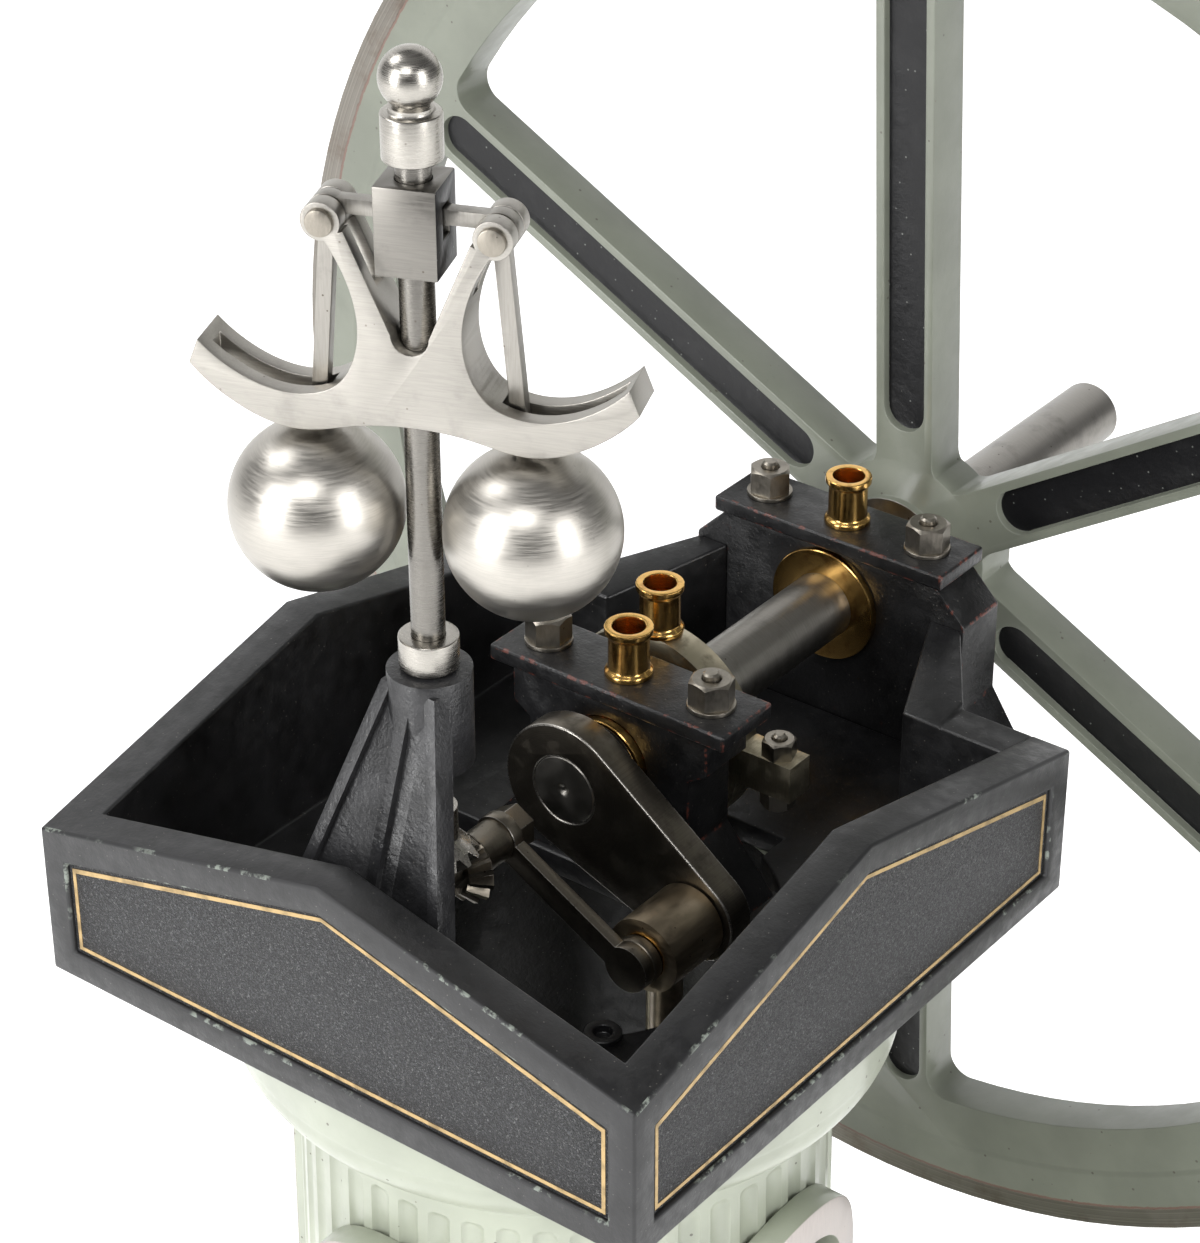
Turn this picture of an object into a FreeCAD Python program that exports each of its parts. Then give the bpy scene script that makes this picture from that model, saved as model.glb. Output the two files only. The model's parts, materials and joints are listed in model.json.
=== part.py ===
import FreeCAD, Part
import math
import os

# Table-top model of a column steam engine, millimetres.  Origin: centre of
# the base plate's underside.  +Y runs along the crankshaft towards the
# flywheel, +Z is up.  Names ending in _drop are measured down from the tray.

V = FreeCAD.Vector
ORIGIN = V(0, 0, 0)
X, Y, Z = V(1, 0, 0), V(0, 1, 0), V(0, 0, 1)

# ---- overall sizes -------------------------------------------------------
tray_base = 232.0          # ground to the underside of the tray
tray_side = 105.0          # outside of the square tray
wheel_radius = 126.0
shaft_height = 24.0        # above the tray's underside

# ---- clearances ----------------------------------------------------------
running_fit = 0.05         # radial, in every bearing
side_play = 0.4            # beside every turning piece
slot_play = 0.3            # beside a lever in its slot
cap_gap = 0.2              # bush flange to the underside of its cap

# ---- column --------------------------------------------------------------
column_radius = 40.0
column_wall = 5.0
column_swell = 2.0         # extra radius at the foot
capital_height = 21.0
capital_out = 10.0         # beyond the column
capital_belly = 7.4        # beyond the column, halfway up the curve
capital_belly_drop = 14.5
capital_flat = 9.0
neck_step = 0.8
window_width = 21.0
window_top_drop = 38.0
window_sill = 17.0         # above the foot moulding
window_turn = 0.0
window_count = 4
frame_border = 6.0
frame_proud = 4.5

# ---- foot, plinth and base -----------------------------------------------
torus_out = 7.0            # beyond the column
torus_height = 8.0
tile_out = 3.0             # beyond the torus
tile_height = 5.0
plinth_out = 4.0           # beyond the tile
plinth_height = 62.0
plinth_wall = 6.0
plinth_skirt = 4.0
plinth_skirt_height = 7.0
plinth_skirt_bevel = 3.0
panel_depth = 1.2
panel_margin_side = 12.0
panel_margin_top = 6.0
base_out = 21.0            # beyond the plinth
base_thick = 8.0
base_chamfer = 2.0
base_hole_radius = 2.2
base_hole_inset = 9.0      # hole centre to the plate's edge

# ---- tray ----------------------------------------------------------------
tray_wall = 6.5
tray_floor = 4.0
tray_corner_height = 24.4
tray_peak_height = 36.6
bay_mouth = 34.0           # half width where the bay leaves the back wall
bay_end = 24.5             # half width at the rear pedestal
bay_reach = 13.9           # back wall to the rear pedestal
bay_end_wall = 5.5
flank_rise = 3.2           # flank tops, from the back wall to the pedestal
plate_margin = 4.5
plate_recess = 1.4
plate_thick = 0.7

# ---- shaft bearings ------------------------------------------------------
shaft_radius = 5.4
near_bearing = 9.4         # Y of the near cap's front
cap_depth = 12.0
cap_thick = 2.6
cap_overhang = 6.4         # beyond the stud
pedestal_inset = 1.0       # pedestal face to cap face
bush_wall = 1.5
bush_collar = 2.5          # flange beyond the bush
bush_flange = 1.4
stud_offset = 14.7
stud_radius = 1.3
stud_stand = 1.0           # stud end above its nut
nut_across_flats = 6.0
nut_height = 4.0
washer_radius = 3.6
washer_thick = 0.7
cup_radius = 3.6
cup_waist = 3.1
cup_stem = 2.3
cup_height = 8.0
cup_bore = 2.3
cup_lip = 1.0
jaw_height = 6.0
jaw_neck = 2.0             # slope under each jaw
near_jaw = 17.5            # half widths of the near pedestal
near_waist = 14.5
near_foot = 23.0
near_foot_height = 10.0
rear_jaw = 19.5            # half widths of the rear pedestal
rear_shoulder = 25.0
rear_shoulder_drop = 5.5   # below the cap
rear_foot = 31.0
rear_foot_height = 4.0
rear_flare = 9.0           # height of the slope above the foot

# ---- crank ---------------------------------------------------------------
crank_throw = 26.0
crank_angle = -28.5        # at rest, degrees from +X towards +Z
web_thick = 4.8
web_wall = 5.1             # web round the shaft
web_pin_wall = 4.4
web_boss_wall = 1.5        # behind the web, up to the near bush
pin_radius = 2.6
big_end_bush_wall = 1.0
big_end_wall = 2.2
big_end_length = 10.9
collar_step = 1.1
collar_thick = 1.8
link_thick = 2.0
link_half_width = 1.9
link_eye_radius = 3.6
link_nut_height = 3.0
rod_length = 108.0
rod_radius = 2.4
small_end_radius = 5.4
small_end_bore = 2.0
sweep_gap = 5.6            # tray floor beyond the crank pin's circle

# ---- eccentric -----------------------------------------------------------
eccentric_y = 27.7
eccentric_throw = 5.4
eccentric_angle = -132.0
eccentric_thick = 5.0
sheave_land = 2.0          # least metal between shaft and strap
strap_wall = 3.5
strap_lug_reach = 9.2      # beyond the strap, each side
strap_lug_half_height = 3.0
strap_sweep = 3.0          # tray floor beyond the strap's path
strap_rod_radius = 1.8
strap_rod_length = 118.0
valve_eye_radius = 3.2
valve_eye_bore = 1.2
valve_eye_thick = 3.0

# ---- flywheel ------------------------------------------------------------
wheel_stand_off = 22.6     # front of the rear cap to the wheel's front face
wheel_width = 8.0
rim_depth = 19.0
spoke_width = 10.4
spoke_count = 6
spoke_fillet = 4.0
wheel_turn = 2.6           # degrees off the level at rest
recess_width = 7.4
recess_depth = 1.5
recess_start = 20.5        # radius at the inner end
recess_land = 1.3          # rim's inner edge to the outer end
wheel_seat_step = 0.5      # shaft is thicker inside the hub
hub_radius = 15.0
hub_ring_wall = 3.9
hub_ring = 1.2
hub_front = 3.4
hub_back = 2.0
hub_back_wall = 6.0
shaft_tail = 48.0          # bare shaft behind the hub, for a pulley

# ---- governor, measured in its own frame: levers along X, Z from the tray -
governor_y = -28.3
governor_turn = 22.4       # degrees about +Z
spindle_radius = 2.3
gear_teeth = 14
gear_pitch_radius = 5.6
gear_face = 3.4
gear_addendum = 0.65
gear_dedendum = 0.85
gear_rim = 1.6             # blank behind the teeth
gear_hub_radius = 3.2
gear_hub_length = 5.0
tooth_root_share = 0.36    # half widths as shares of the pitch
tooth_tip_share = 0.15
tooth_bite = 1.3           # how deep a tooth enters its blank, in dedenda
stub_radius = 2.0
anchor_thick = 7.5
anchor_pin = (11.1, 123.6)
anchor_ear_radius = 2.6
anchor_under = ((29.6, 102.0), (23.5, 96.9), (15.4, 94.3), (7.0, 95.8))
anchor_middle = 96.4
anchor_over = ((28.3, 105.4), (21.5, 100.6), (15.0, 99.4), (10.0, 101.2),
               (7.4, 105.5), (6.9, 111.0), (8.7, 117.5), (10.9, 121.5))
notch_radius = 2.5
notch_bottom = 106.6
notch_top = (8.2, 122.6)
arc_slot = (11.2, 27.2)    # X span of the slot that the lever passes
ear_slot_low = 114.5
lever_thick = 2.0
lever_half_width = 1.0
pivot_radius = 1.4
pivot_head_radius = 1.85
pivot_head = 0.7
ball_radius = 11.7
ball_gap = 0.6             # ball to spindle at rest
ball_height = 81.7
block_half = 4.1
block_bottom = 117.3
block_height = 12.0
block_slot_foot = 1.6      # below the lever slot
nose_x = 4.4
nose_rise = 1.2
nose_radius = 1.1
finial_ball = 4.0
finial_centre = 142.3
finial_collar = (131.8, 138.0)
finial_collar_radius = 3.9
finial_neck = 2.9
spindle_collar_height = 4.6
spindle_collar_radius = 4.1
post_top = 59.0
post_boss_radius = 5.8
post_boss_height = 14.5
post_shoulder = 1.5        # below the top, where the sloping plate starts
post_half_top = 4.6        # half widths of the sloping plate
post_half_foot = 16.0
post_reach = 3.4           # spindle to the plate's face, at the shoulder
post_knee = 16.0           # where the plate meets the tray's wall
post_wall = 2.4
post_rib = 1.2
post_rib_width = 1.8
stub_boss_radius = 4.2
stub_boss_length = 6.0
stub_tail = 14.0           # gear stub in front of the spindle

# ---- cylinder, crosshead and valve chest --------------------------------
cylinder_y = -6.0
cylinder_radius = 17.0
cylinder_flange_out = 6.5
cylinder_flange = 4.0
piston_rod_radius = 2.5
piston_rod_show = 12.5     # cylinder cover to crosshead, at the lowest point
gland_radius = 7.0
gland_height = 8.0
guide_radius = 2.5
guide_x = 14.5
guide_y = 8.0
shoe_wall = 1.5
yoke_height = 6.5
yoke_half_width = 6.0
yoke_wall = 3.0
yoke_socket = 4.0
cheek_height = 12.0
chest_half_width = 9.0
chest_depth = 20.0
chest_low = 22.0           # above the base plate
chest_high = 10.0          # below the cylinder's top
chest_gland_radius = 3.6
chest_gland_height = 7.0
valve_stem_radius = 1.5
valve_fork_wall = 2.0
valve_fork_half_width = 3.0
valve_fork_height = 7.0
bracket_drop = 36.0
bracket_height = 5.0
bracket_half_width = 4.5

# ---- worked out from the sizes above ------------------------------------
half = tray_side / 2
inner = half - tray_wall
bay_y = half + bay_reach
bearing_front = (near_bearing, bay_y - pedestal_inset)
axis_z = tray_base + shaft_height
bush_radius = shaft_radius + bush_wall
bush_flange_radius = bush_radius + bush_collar
cap_low = axis_z + bush_flange_radius + cap_gap
cap_top = cap_low + cap_thick
cap_half_width = stud_offset + cap_overhang
wheel_front = bearing_front[1] + wheel_stand_off
wheel_back = wheel_front + wheel_width
hub_end = wheel_back + hub_back
shaft_end = hub_end + shaft_tail
wheel_seat_radius = shaft_radius + wheel_seat_step
column_bore = column_radius - column_wall
floor_opening = crank_throw + sweep_gap
torus_reach = column_radius + torus_out
tile_half = torus_reach + tile_out
plinth_half = tile_half + plinth_out
base_half = plinth_half + base_out
base_hole_offset = base_half - base_hole_inset
plinth_top = base_thick + plinth_height
column_low = plinth_top + tile_height + torus_height
column_high = tray_base - capital_height
window_high = tray_base - window_top_drop
window_low = column_low + window_sill
sheave_radius = shaft_radius + eccentric_throw + sheave_land
strap_radius = sheave_radius + strap_wall
ball_centre = (spindle_radius + ball_gap + ball_radius, ball_height)
touch = 0.01               # how near two heights count as one


# ---- shapes --------------------------------------------------------------
def box(x0, x1, y0, y1, z0, z1):
    return Part.makeBox(x1 - x0, y1 - y0, z1 - z0, V(x0, y0, z0))


def rod(radius, start, length, axis=Z):
    return Part.makeCylinder(radius, length, V(*start), axis)


def ring(outer, bore, start, length, axis=Z):
    solid = rod(outer, start, length, axis)
    return solid.cut(rod(bore, start, length, axis))


def prism(points, travel):
    wire = Part.makePolygon([V(*p) for p in points] + [V(*points[0])])
    return Part.Face(wire).extrude(V(*travel))


def both_sides(points):
    """A closed outline from the +X half of one, given from low to high."""
    return points + [(-x, z) for x, z in reversed(points)]


def turned(profile, centre=(0, 0)):
    """Solid of revolution about +Z from (radius, z) points."""
    points = [V(r, 0, z) for r, z in profile]
    wire = Part.makePolygon(points + [points[0]])
    solid = Part.Face(wire).revolve(ORIGIN, Z, 360)
    solid.translate(V(centre[0], centre[1], 0))
    return solid


def spun(solid, centre, axis, degrees):
    copy = solid.copy()
    copy.rotate(V(*centre), axis, degrees)
    return copy


def fused(solids):
    whole = solids[0]
    if len(solids) > 1:
        whole = whole.multiFuse(solids[1:])
    whole = whole.removeSplitter()
    return whole.Solids[0] if len(whole.Solids) == 1 else whole


def save(node, *solids):
    shapes = [s for solid in solids for s in solid.Solids]
    Part.makeCompound(shapes).exportStep("parts/%s.step" % node)


def edges_at(solid, height):
    return [e for e in solid.Edges
            if all(abs(v.Z - height) < touch for v in e.Vertexes)]


def edges_along_y(solid):
    return [e for e in solid.Edges
            if abs(e.Vertexes[0].X - e.Vertexes[-1].X) < touch
            and abs(e.Vertexes[0].Z - e.Vertexes[-1].Z) < touch
            and abs(e.Vertexes[0].Y - e.Vertexes[-1].Y) > touch]


def hexagon(across_flats, centre, height):
    reach = across_flats / math.sqrt(3)
    corners = [math.radians(60 * k) for k in range(6)]
    points = [(centre[0] + reach * math.cos(a), centre[1] + reach * math.sin(a), centre[2])
              for a in corners]
    return prism(points, (0, 0, height))


def tapered_bar(radius_a, radius_b, length, thick):
    """Flat bar lying in the XZ plane from the origin along +X."""
    angle = math.acos((radius_a - radius_b) / length)
    side_a = (radius_a * math.cos(angle), radius_a * math.sin(angle))
    side_b = (length + radius_b * math.cos(angle), radius_b * math.sin(angle))
    sides = [(side_a[0], 0, side_a[1]), (side_b[0], 0, side_b[1]),
             (side_b[0], 0, -side_b[1]), (side_a[0], 0, -side_a[1])]
    return fused([prism(sides, (0, thick, 0)), rod(radius_a, (0, 0, 0), thick, Y),
                  rod(radius_b, (length, 0, 0), thick, Y)])


# ---- base, plinth and column --------------------------------------------
def base_plate():
    side = base_half
    plate = box(-side, side, -side, side, 0, base_thick)
    plate = plate.makeChamfer(base_chamfer, edges_at(plate, base_thick))
    for sx in (-1, 1):
        for sy in (-1, 1):
            hole = (sx * base_hole_offset, sy * base_hole_offset, 0)
            plate = plate.cut(rod(base_hole_radius, hole, base_thick))
    save("base_plate", plate)


def plinth():
    side = plinth_half
    skirt = side + plinth_skirt
    skirt_top = base_thick + plinth_skirt_height
    shell = box(-side, side, -side, side, base_thick, plinth_top)
    low = box(-skirt, skirt, -skirt, skirt, base_thick, skirt_top)
    shell = fused([shell, low.makeChamfer(plinth_skirt_bevel, edges_at(low, skirt_top))])
    cavity = side - plinth_wall
    shell = shell.cut(box(-cavity, cavity, -cavity, cavity, base_thick, plinth_top - plinth_wall))
    shell = shell.cut(rod(column_bore, (0, 0, base_thick), plinth_height))
    reach = side - panel_margin_side
    panel = box(-reach, reach, -side, panel_depth - side,
                skirt_top + panel_margin_top, plinth_top - panel_margin_top)
    for k in range(4):
        shell = shell.cut(spun(panel, (0, 0, 0), Z, 90 * k))
    save("plinth", shell)


def column_foot():
    side = tile_half
    top = plinth_top + tile_height
    round_radius = torus_height / 2
    tile = box(-side, side, -side, side, plinth_top, top)
    bulge = Part.makeTorus(torus_reach - round_radius, round_radius, V(0, 0, top + round_radius))
    core = rod(torus_reach - round_radius, (0, 0, top), torus_height)
    bore = rod(column_bore, (0, 0, plinth_top), tile_height + torus_height)
    save("column_foot", fused([tile, core, bulge]).cut(bore))


def arched(width, low, high, start, depth):
    """Upright slab with a round top and bottom, its face on +X."""
    radius = width / 2
    slab = box(start, start + depth, -radius, radius, low + radius, high - radius)
    ends = [rod(radius, (start, 0, z), depth, X) for z in (low + radius, high - radius)]
    return fused([slab] + ends)


def window_opening():
    return arched(window_width, window_low, window_high, column_bore / 2, column_radius)


def window_angles():
    return [window_turn + 360.0 / window_count * k for k in range(window_count)]


def tapered_shaft(extra):
    return Part.makeCone(column_radius + column_swell + extra, column_radius + extra,
                         column_high - column_low, V(0, 0, column_low))


def column():
    shaft = tapered_shaft(0).cut(rod(column_bore, (0, 0, column_low), column_high - column_low))
    for angle in window_angles():
        shaft = shaft.cut(spun(window_opening(), (0, 0, 0), Z, angle))
    save("column", shaft)


def window_frames():
    grown = frame_border
    outer = arched(window_width + 2 * grown, window_low - grown, window_high + grown,
                   column_bore, column_wall + column_swell + frame_proud)
    frame = outer.cut(window_opening()).common(tapered_shaft(frame_proud))
    frame = frame.cut(tapered_shaft(0))
    save("window_frames", *[spun(frame, (0, 0, 0), Z, a) for a in window_angles()])


def capital():
    reach = column_radius + capital_out
    flat_low = tray_base - capital_flat
    neck = column_radius + neck_step
    belly = V(column_radius + capital_belly, 0, tray_base - capital_belly_drop)
    curve = Part.Arc(V(neck, 0, column_high), belly, V(reach, 0, flat_low)).toShape()
    rest = [V(reach, 0, flat_low), V(reach, 0, tray_base), V(column_bore, 0, tray_base),
            V(column_bore, 0, column_high), V(neck, 0, column_high)]
    wire = Part.Wire([curve] + Part.makePolygon(rest).Edges)
    save("capital", Part.Face(wire).revolve(ORIGIN, Z, 360))


# ---- tray ----------------------------------------------------------------
def gable(y0, y1, inset=0.0, low=0.0):
    """Wall along X between y0 and y1 with a pediment-shaped top."""
    reach = half - inset
    corner = tray_base + tray_corner_height - inset
    points = [(-reach, y0, tray_base + low), (reach, y0, tray_base + low),
              (reach, y0, corner), (0, y0, tray_base + tray_peak_height - inset),
              (-reach, y0, corner)]
    return prism(points, (0, y1 - y0, 0))


def tray_outline(reach, mouth, end, back, z):
    points = [(-reach, -reach), (reach, -reach), (reach, back), (mouth, back),
              (end, bay_y), (-end, bay_y), (-mouth, back), (-reach, back)]
    return [(x, y, z) for x, y in points]


def tray():
    top = tray_base + tray_corner_height
    body = prism(tray_outline(half, bay_mouth, bay_end, half, tray_base),
                 (0, 0, tray_corner_height))
    flanks = prism([(-half, inner, top), (-half, bay_y, top), (-half, bay_y, top + flank_rise)],
                   (tray_side, 0, 0))
    flanks = flanks.common(prism(tray_outline(bay_mouth, bay_mouth, bay_end, half, tray_base),
                                 (0, 0, tray_peak_height)))
    gables = [gable(-half, -inner)]
    gables += [spun(gables[0], (0, 0, 0), Z, turn) for turn in (90, 270)]
    hollow = prism(tray_outline(inner, bay_mouth - tray_wall, bay_end - bay_end_wall, inner,
                                tray_base + tray_floor), (0, 0, tray_peak_height))
    body = fused([body, flanks] + gables).cut(hollow)
    opening = rod(floor_opening, (0, 0, tray_base), tray_floor)
    bridge = box(-half, half, near_bearing, near_bearing + cap_depth,
                 tray_base, tray_base + tray_floor)
    sweep = eccentric_throw + strap_sweep
    chord = math.sqrt(strap_radius ** 2 - (shaft_height - tray_floor - eccentric_throw) ** 2)
    slot = box(-chord - sweep, chord + sweep, near_bearing + cap_depth,
               eccentric_y + eccentric_thick / 2 + strap_sweep,
               tray_base, tray_base + tray_floor)
    body = body.cut(opening.cut(bridge)).cut(slot)
    recess = gable(-half, plate_recess - half, plate_margin, plate_margin)
    for turn in (0, 90, 270):
        body = body.cut(spun(recess, (0, 0, 0), Z, turn))
    save("tray", body)


def side_plates():
    face = plate_recess - half
    plate = gable(face - plate_thick, face, plate_margin, plate_margin)
    save("side_plates", *[spun(plate, (0, 0, 0), Z, turn) for turn in (0, 90, 270)])


# ---- bearings ------------------------------------------------------------
def pedestal(node, front, profile):
    """A block of this (x, z) half profile, bored for its bush."""
    depth = cap_depth - 2 * pedestal_inset
    block = prism([(x, front, z) for x, z in both_sides(profile)], (0, depth, 0))
    save(node, block.cut(rod(bush_radius, (0, front, axis_z), depth, Y)))


def pedestals():
    floor = tray_base + tray_floor
    jaw_low = cap_low - jaw_height
    pedestal("near_pedestal", bearing_front[0] + pedestal_inset,
             [(near_foot, floor), (near_waist, floor + near_foot_height),
              (near_waist, jaw_low - jaw_neck), (near_jaw, jaw_low), (near_jaw, cap_low)])
    foot_top = tray_base + rear_foot_height
    pedestal("rear_pedestal", bearing_front[1] + pedestal_inset,
             [(rear_foot, tray_base), (rear_foot, foot_top),
              (rear_shoulder, foot_top + rear_flare),
              (rear_shoulder, cap_low - rear_shoulder_drop), (rear_jaw, cap_low)])


def bearing_caps():
    width = cap_half_width
    save("bearing_caps", *[box(-width, width, front, front + cap_depth, cap_low, cap_top)
                           for front in bearing_front])


def bearing_bushes():
    bushes = []
    for front in bearing_front:
        seat = front + pedestal_inset
        length = cap_depth - 2 * pedestal_inset
        start = seat - bush_flange
        bush = fused([rod(bush_radius, (0, seat, axis_z), length, Y),
                      rod(bush_flange_radius, (0, start, axis_z), bush_flange, Y),
                      rod(bush_flange_radius, (0, seat + length, axis_z), bush_flange, Y)])
        bore = rod(shaft_radius + running_fit, (0, start, axis_z), length + 2 * bush_flange, Y)
        bushes.append(bush.cut(bore))
    save("bearing_bushes", *bushes)


def cap_nuts():
    nuts = []
    lift = cap_top + washer_thick
    for front in bearing_front:
        for side in (-1, 1):
            x, y = side * stud_offset, front + cap_depth / 2
            nuts.append(fused([rod(washer_radius, (x, y, cap_top), washer_thick),
                               hexagon(nut_across_flats, (x, y, lift), nut_height),
                               rod(stud_radius, (x, y, cap_top),
                                   washer_thick + nut_height + stud_stand)]))
    save("cap_nuts", *nuts)


def oil_cup(x, y, z):
    outline = [(0, z), (cup_radius, z), (cup_radius, z + cup_lip), (cup_waist, z + cup_lip),
               (cup_waist, z + cup_height - cup_lip), (cup_radius, z + cup_height - cup_lip),
               (cup_radius, z + cup_height), (cup_bore, z + cup_height),
               (cup_bore, z + cup_lip), (0, z + cup_lip)]
    return turned(outline, (x, y))


def cap_oil_cups():
    save("cap_oil_cups", *[oil_cup(0, front + cap_depth / 2, cap_top)
                           for front in bearing_front])


# ---- crank ---------------------------------------------------------------
def on_crank(radius, angle):
    turn = math.radians(angle)
    return radius * math.cos(turn), axis_z + radius * math.sin(turn)


pin_x, pin_z = on_crank(crank_throw, crank_angle)
big_end_bush = pin_radius + big_end_bush_wall
big_end_radius = big_end_bush + big_end_wall
collar_radius = pin_radius + collar_step
big_end_back = -side_play
big_end_front = big_end_back - big_end_length
collar_back = big_end_front - side_play
collar_front = collar_back - collar_thick
link_front = collar_front - link_thick


def on_shaft(solid, y):
    """Turns a piece made along +X to the crank's angle, on the shaft."""
    solid.rotate(ORIGIN, Y, -crank_angle)
    solid.translate(V(0, y, axis_z))
    return solid


def crankshaft():
    shaft = rod(shaft_radius, (0, 0, axis_z), shaft_end, Y)
    seat_start = wheel_front - hub_front
    seat = rod(wheel_seat_radius, (0, seat_start, axis_z), hub_end - seat_start, Y)
    save("crankshaft", fused([shaft, seat]))


def crank_web():
    web = tapered_bar(shaft_radius + web_wall, pin_radius + web_pin_wall, crank_throw, web_thick)
    web = on_shaft(web, 0).cut(rod(shaft_radius, (0, 0, axis_z), web_thick, Y))
    web = web.cut(rod(pin_radius, (pin_x, 0, pin_z), web_thick, Y))
    boss_end = bearing_front[0] + pedestal_inset - bush_flange - side_play
    boss = ring(shaft_radius + web_boss_wall, shaft_radius, (0, web_thick, axis_z),
                boss_end - web_thick, Y)
    save("crank_web", fused([web, boss]))


def crank_pin():
    pin = rod(pin_radius, (pin_x, collar_back, pin_z), web_thick - collar_back, Y)
    collar = rod(collar_radius, (pin_x, collar_front, pin_z), collar_thick, Y)
    save("crank_pin", fused([pin, collar]))


def drag_link():
    bar = box(0, crank_throw, 0, link_thick, -link_half_width, link_half_width)
    eyes = [rod(link_eye_radius, (x, 0, 0), link_thick, Y) for x in (0, crank_throw)]
    nut = hexagon(nut_across_flats, (0, 0, 0), link_nut_height)
    nut.rotate(ORIGIN, X, -90)
    nut.translate(V(0, link_thick, 0))
    save("drag_link", on_shaft(fused([bar, nut] + eyes), link_front))


def connecting_rod():
    y_mid = (big_end_back + big_end_front) / 2
    low = pin_z - rod_length
    ends = [rod(big_end_radius, (pin_x, big_end_front, pin_z), big_end_length, Y),
            rod(small_end_radius, (pin_x, big_end_front, low), big_end_length, Y)]
    bar = rod(rod_radius, (pin_x, y_mid, low), rod_length)
    body = fused(ends + [bar])
    body = body.cut(rod(big_end_bush, (pin_x, big_end_front, pin_z), big_end_length, Y))
    body = body.cut(rod(small_end_bore, (pin_x, big_end_front, low), big_end_length, Y))
    save("connecting_rod", body)


def big_end_brass():
    save("big_end_brass", ring(big_end_bush, pin_radius + running_fit,
                               (pin_x, big_end_front, pin_z), big_end_length, Y))


# ---- eccentric -----------------------------------------------------------
sheave_x, sheave_z = on_crank(eccentric_throw, eccentric_angle)
eccentric_front = eccentric_y - eccentric_thick / 2


def eccentric_sheave():
    sheave = rod(sheave_radius, (sheave_x, eccentric_front, sheave_z), eccentric_thick, Y)
    save("eccentric_sheave",
         sheave.cut(rod(shaft_radius, (0, eccentric_front, axis_z), eccentric_thick, Y)))


def eccentric_strap():
    low = sheave_z - strap_rod_length
    strap = rod(strap_radius, (sheave_x, eccentric_front, sheave_z), eccentric_thick, Y)
    bar = rod(strap_rod_radius, (sheave_x, eccentric_y, low), strap_rod_length)
    eye = rod(valve_eye_radius, (sheave_x, eccentric_y - valve_eye_thick / 2, low),
              valve_eye_thick, Y)
    bore = rod(sheave_radius + running_fit, (sheave_x, eccentric_front, sheave_z),
               eccentric_thick, Y)
    pin = rod(valve_eye_bore, (sheave_x, eccentric_y - valve_eye_thick, low),
              2 * valve_eye_thick, Y)
    reach = strap_radius + strap_lug_reach
    lugs = box(sheave_x - reach, sheave_x + reach, eccentric_front,
               eccentric_front + eccentric_thick, sheave_z - strap_lug_half_height,
               sheave_z + strap_lug_half_height)
    save("eccentric_strap", fused([strap, lugs, bar, eye]).cut(bore).cut(pin))


def strap_oil_cup():
    top = sheave_z + strap_radius
    root = math.sqrt(strap_radius ** 2 - cup_stem ** 2) + sheave_z - touch
    stem = rod(cup_stem, (sheave_x, eccentric_y, root), top + cup_lip - root)
    stem = stem.cut(rod(strap_radius, (sheave_x, eccentric_front, sheave_z),
                        eccentric_thick, Y))
    save("strap_oil_cup", fused([oil_cup(sheave_x, eccentric_y, top), stem]))


# ---- flywheel ------------------------------------------------------------
def about_shaft(solid, turn=0.0):
    """Turns a piece made round the origin, then puts it on the shaft."""
    copy = spun(solid, (0, 0, 0), Y, -turn)
    copy.translate(V(0, 0, axis_z))
    return copy


def wheel_gap():
    """Opening between two spokes, its corners rounded, centred on +X."""
    rim_inner = wheel_radius - rim_depth
    half_angle = math.radians(180.0 / spoke_count)
    apex = spoke_width / 2 / math.sin(half_angle)
    far = apex + wheel_radius * math.cos(half_angle)
    spread = wheel_radius * math.sin(half_angle)
    wedge = prism([(apex, wheel_front, 0), (far, wheel_front, spread),
                   (far, wheel_front, -spread)], (0, wheel_width, 0))
    gap = wedge.common(rod(rim_inner, (0, wheel_front, 0), wheel_width, Y))
    return gap.makeFillet(spoke_fillet, edges_along_y(gap))


def spoke_recess(front):
    radius = recess_width / 2
    start = recess_start + radius
    end = wheel_radius - rim_depth - recess_land - radius
    middle = box(start, end, front, front + recess_depth, -radius, radius)
    return fused([middle] + [rod(radius, (x, front, 0), recess_depth, Y) for x in (start, end)])


def flywheel_hub():
    ring_radius = wheel_seat_radius + hub_ring_wall
    back_radius = wheel_seat_radius + hub_back_wall
    front = wheel_front - hub_front
    profile = [(wheel_seat_radius, front), (ring_radius, front), (ring_radius, front + hub_ring),
               (hub_radius, wheel_front), (hub_radius, wheel_back), (back_radius, hub_end),
               (wheel_seat_radius, hub_end)]
    hub = turned(profile)
    hub.rotate(ORIGIN, X, -90)
    return hub


def flywheel():
    wheel = rod(wheel_radius, (0, wheel_front, 0), wheel_width, Y)
    pitch = 360.0 / spoke_count
    gap = wheel_gap()
    recesses = fused([spoke_recess(wheel_front), spoke_recess(wheel_back - recess_depth)])
    for k in range(spoke_count):
        wheel = wheel.cut(spun(gap, (0, 0, 0), Y, -pitch * k))
        wheel = wheel.cut(spun(recesses, (0, 0, 0), Y, -pitch * (k + 0.5)))
    wheel = wheel.cut(rod(wheel_seat_radius, (0, wheel_front, 0), wheel_width, Y))
    save("flywheel", about_shaft(fused([wheel, flywheel_hub()]), wheel_turn))


# ---- governor ------------------------------------------------------------
def placed(solid):
    """From the governor's own frame, levers along X, to its place."""
    copy = solid.copy()
    copy.rotate(ORIGIN, Z, governor_turn)
    copy.translate(V(0, governor_y, tray_base))
    return copy


def mirrored(solid):
    return solid.mirror(ORIGIN, X)


gear_down = gear_dedendum / math.sqrt(2)
gear_up = gear_addendum / math.sqrt(2)
gear_back = gear_pitch_radius + gear_down + gear_rim
half_tooth = 180.0 / gear_teeth


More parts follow.
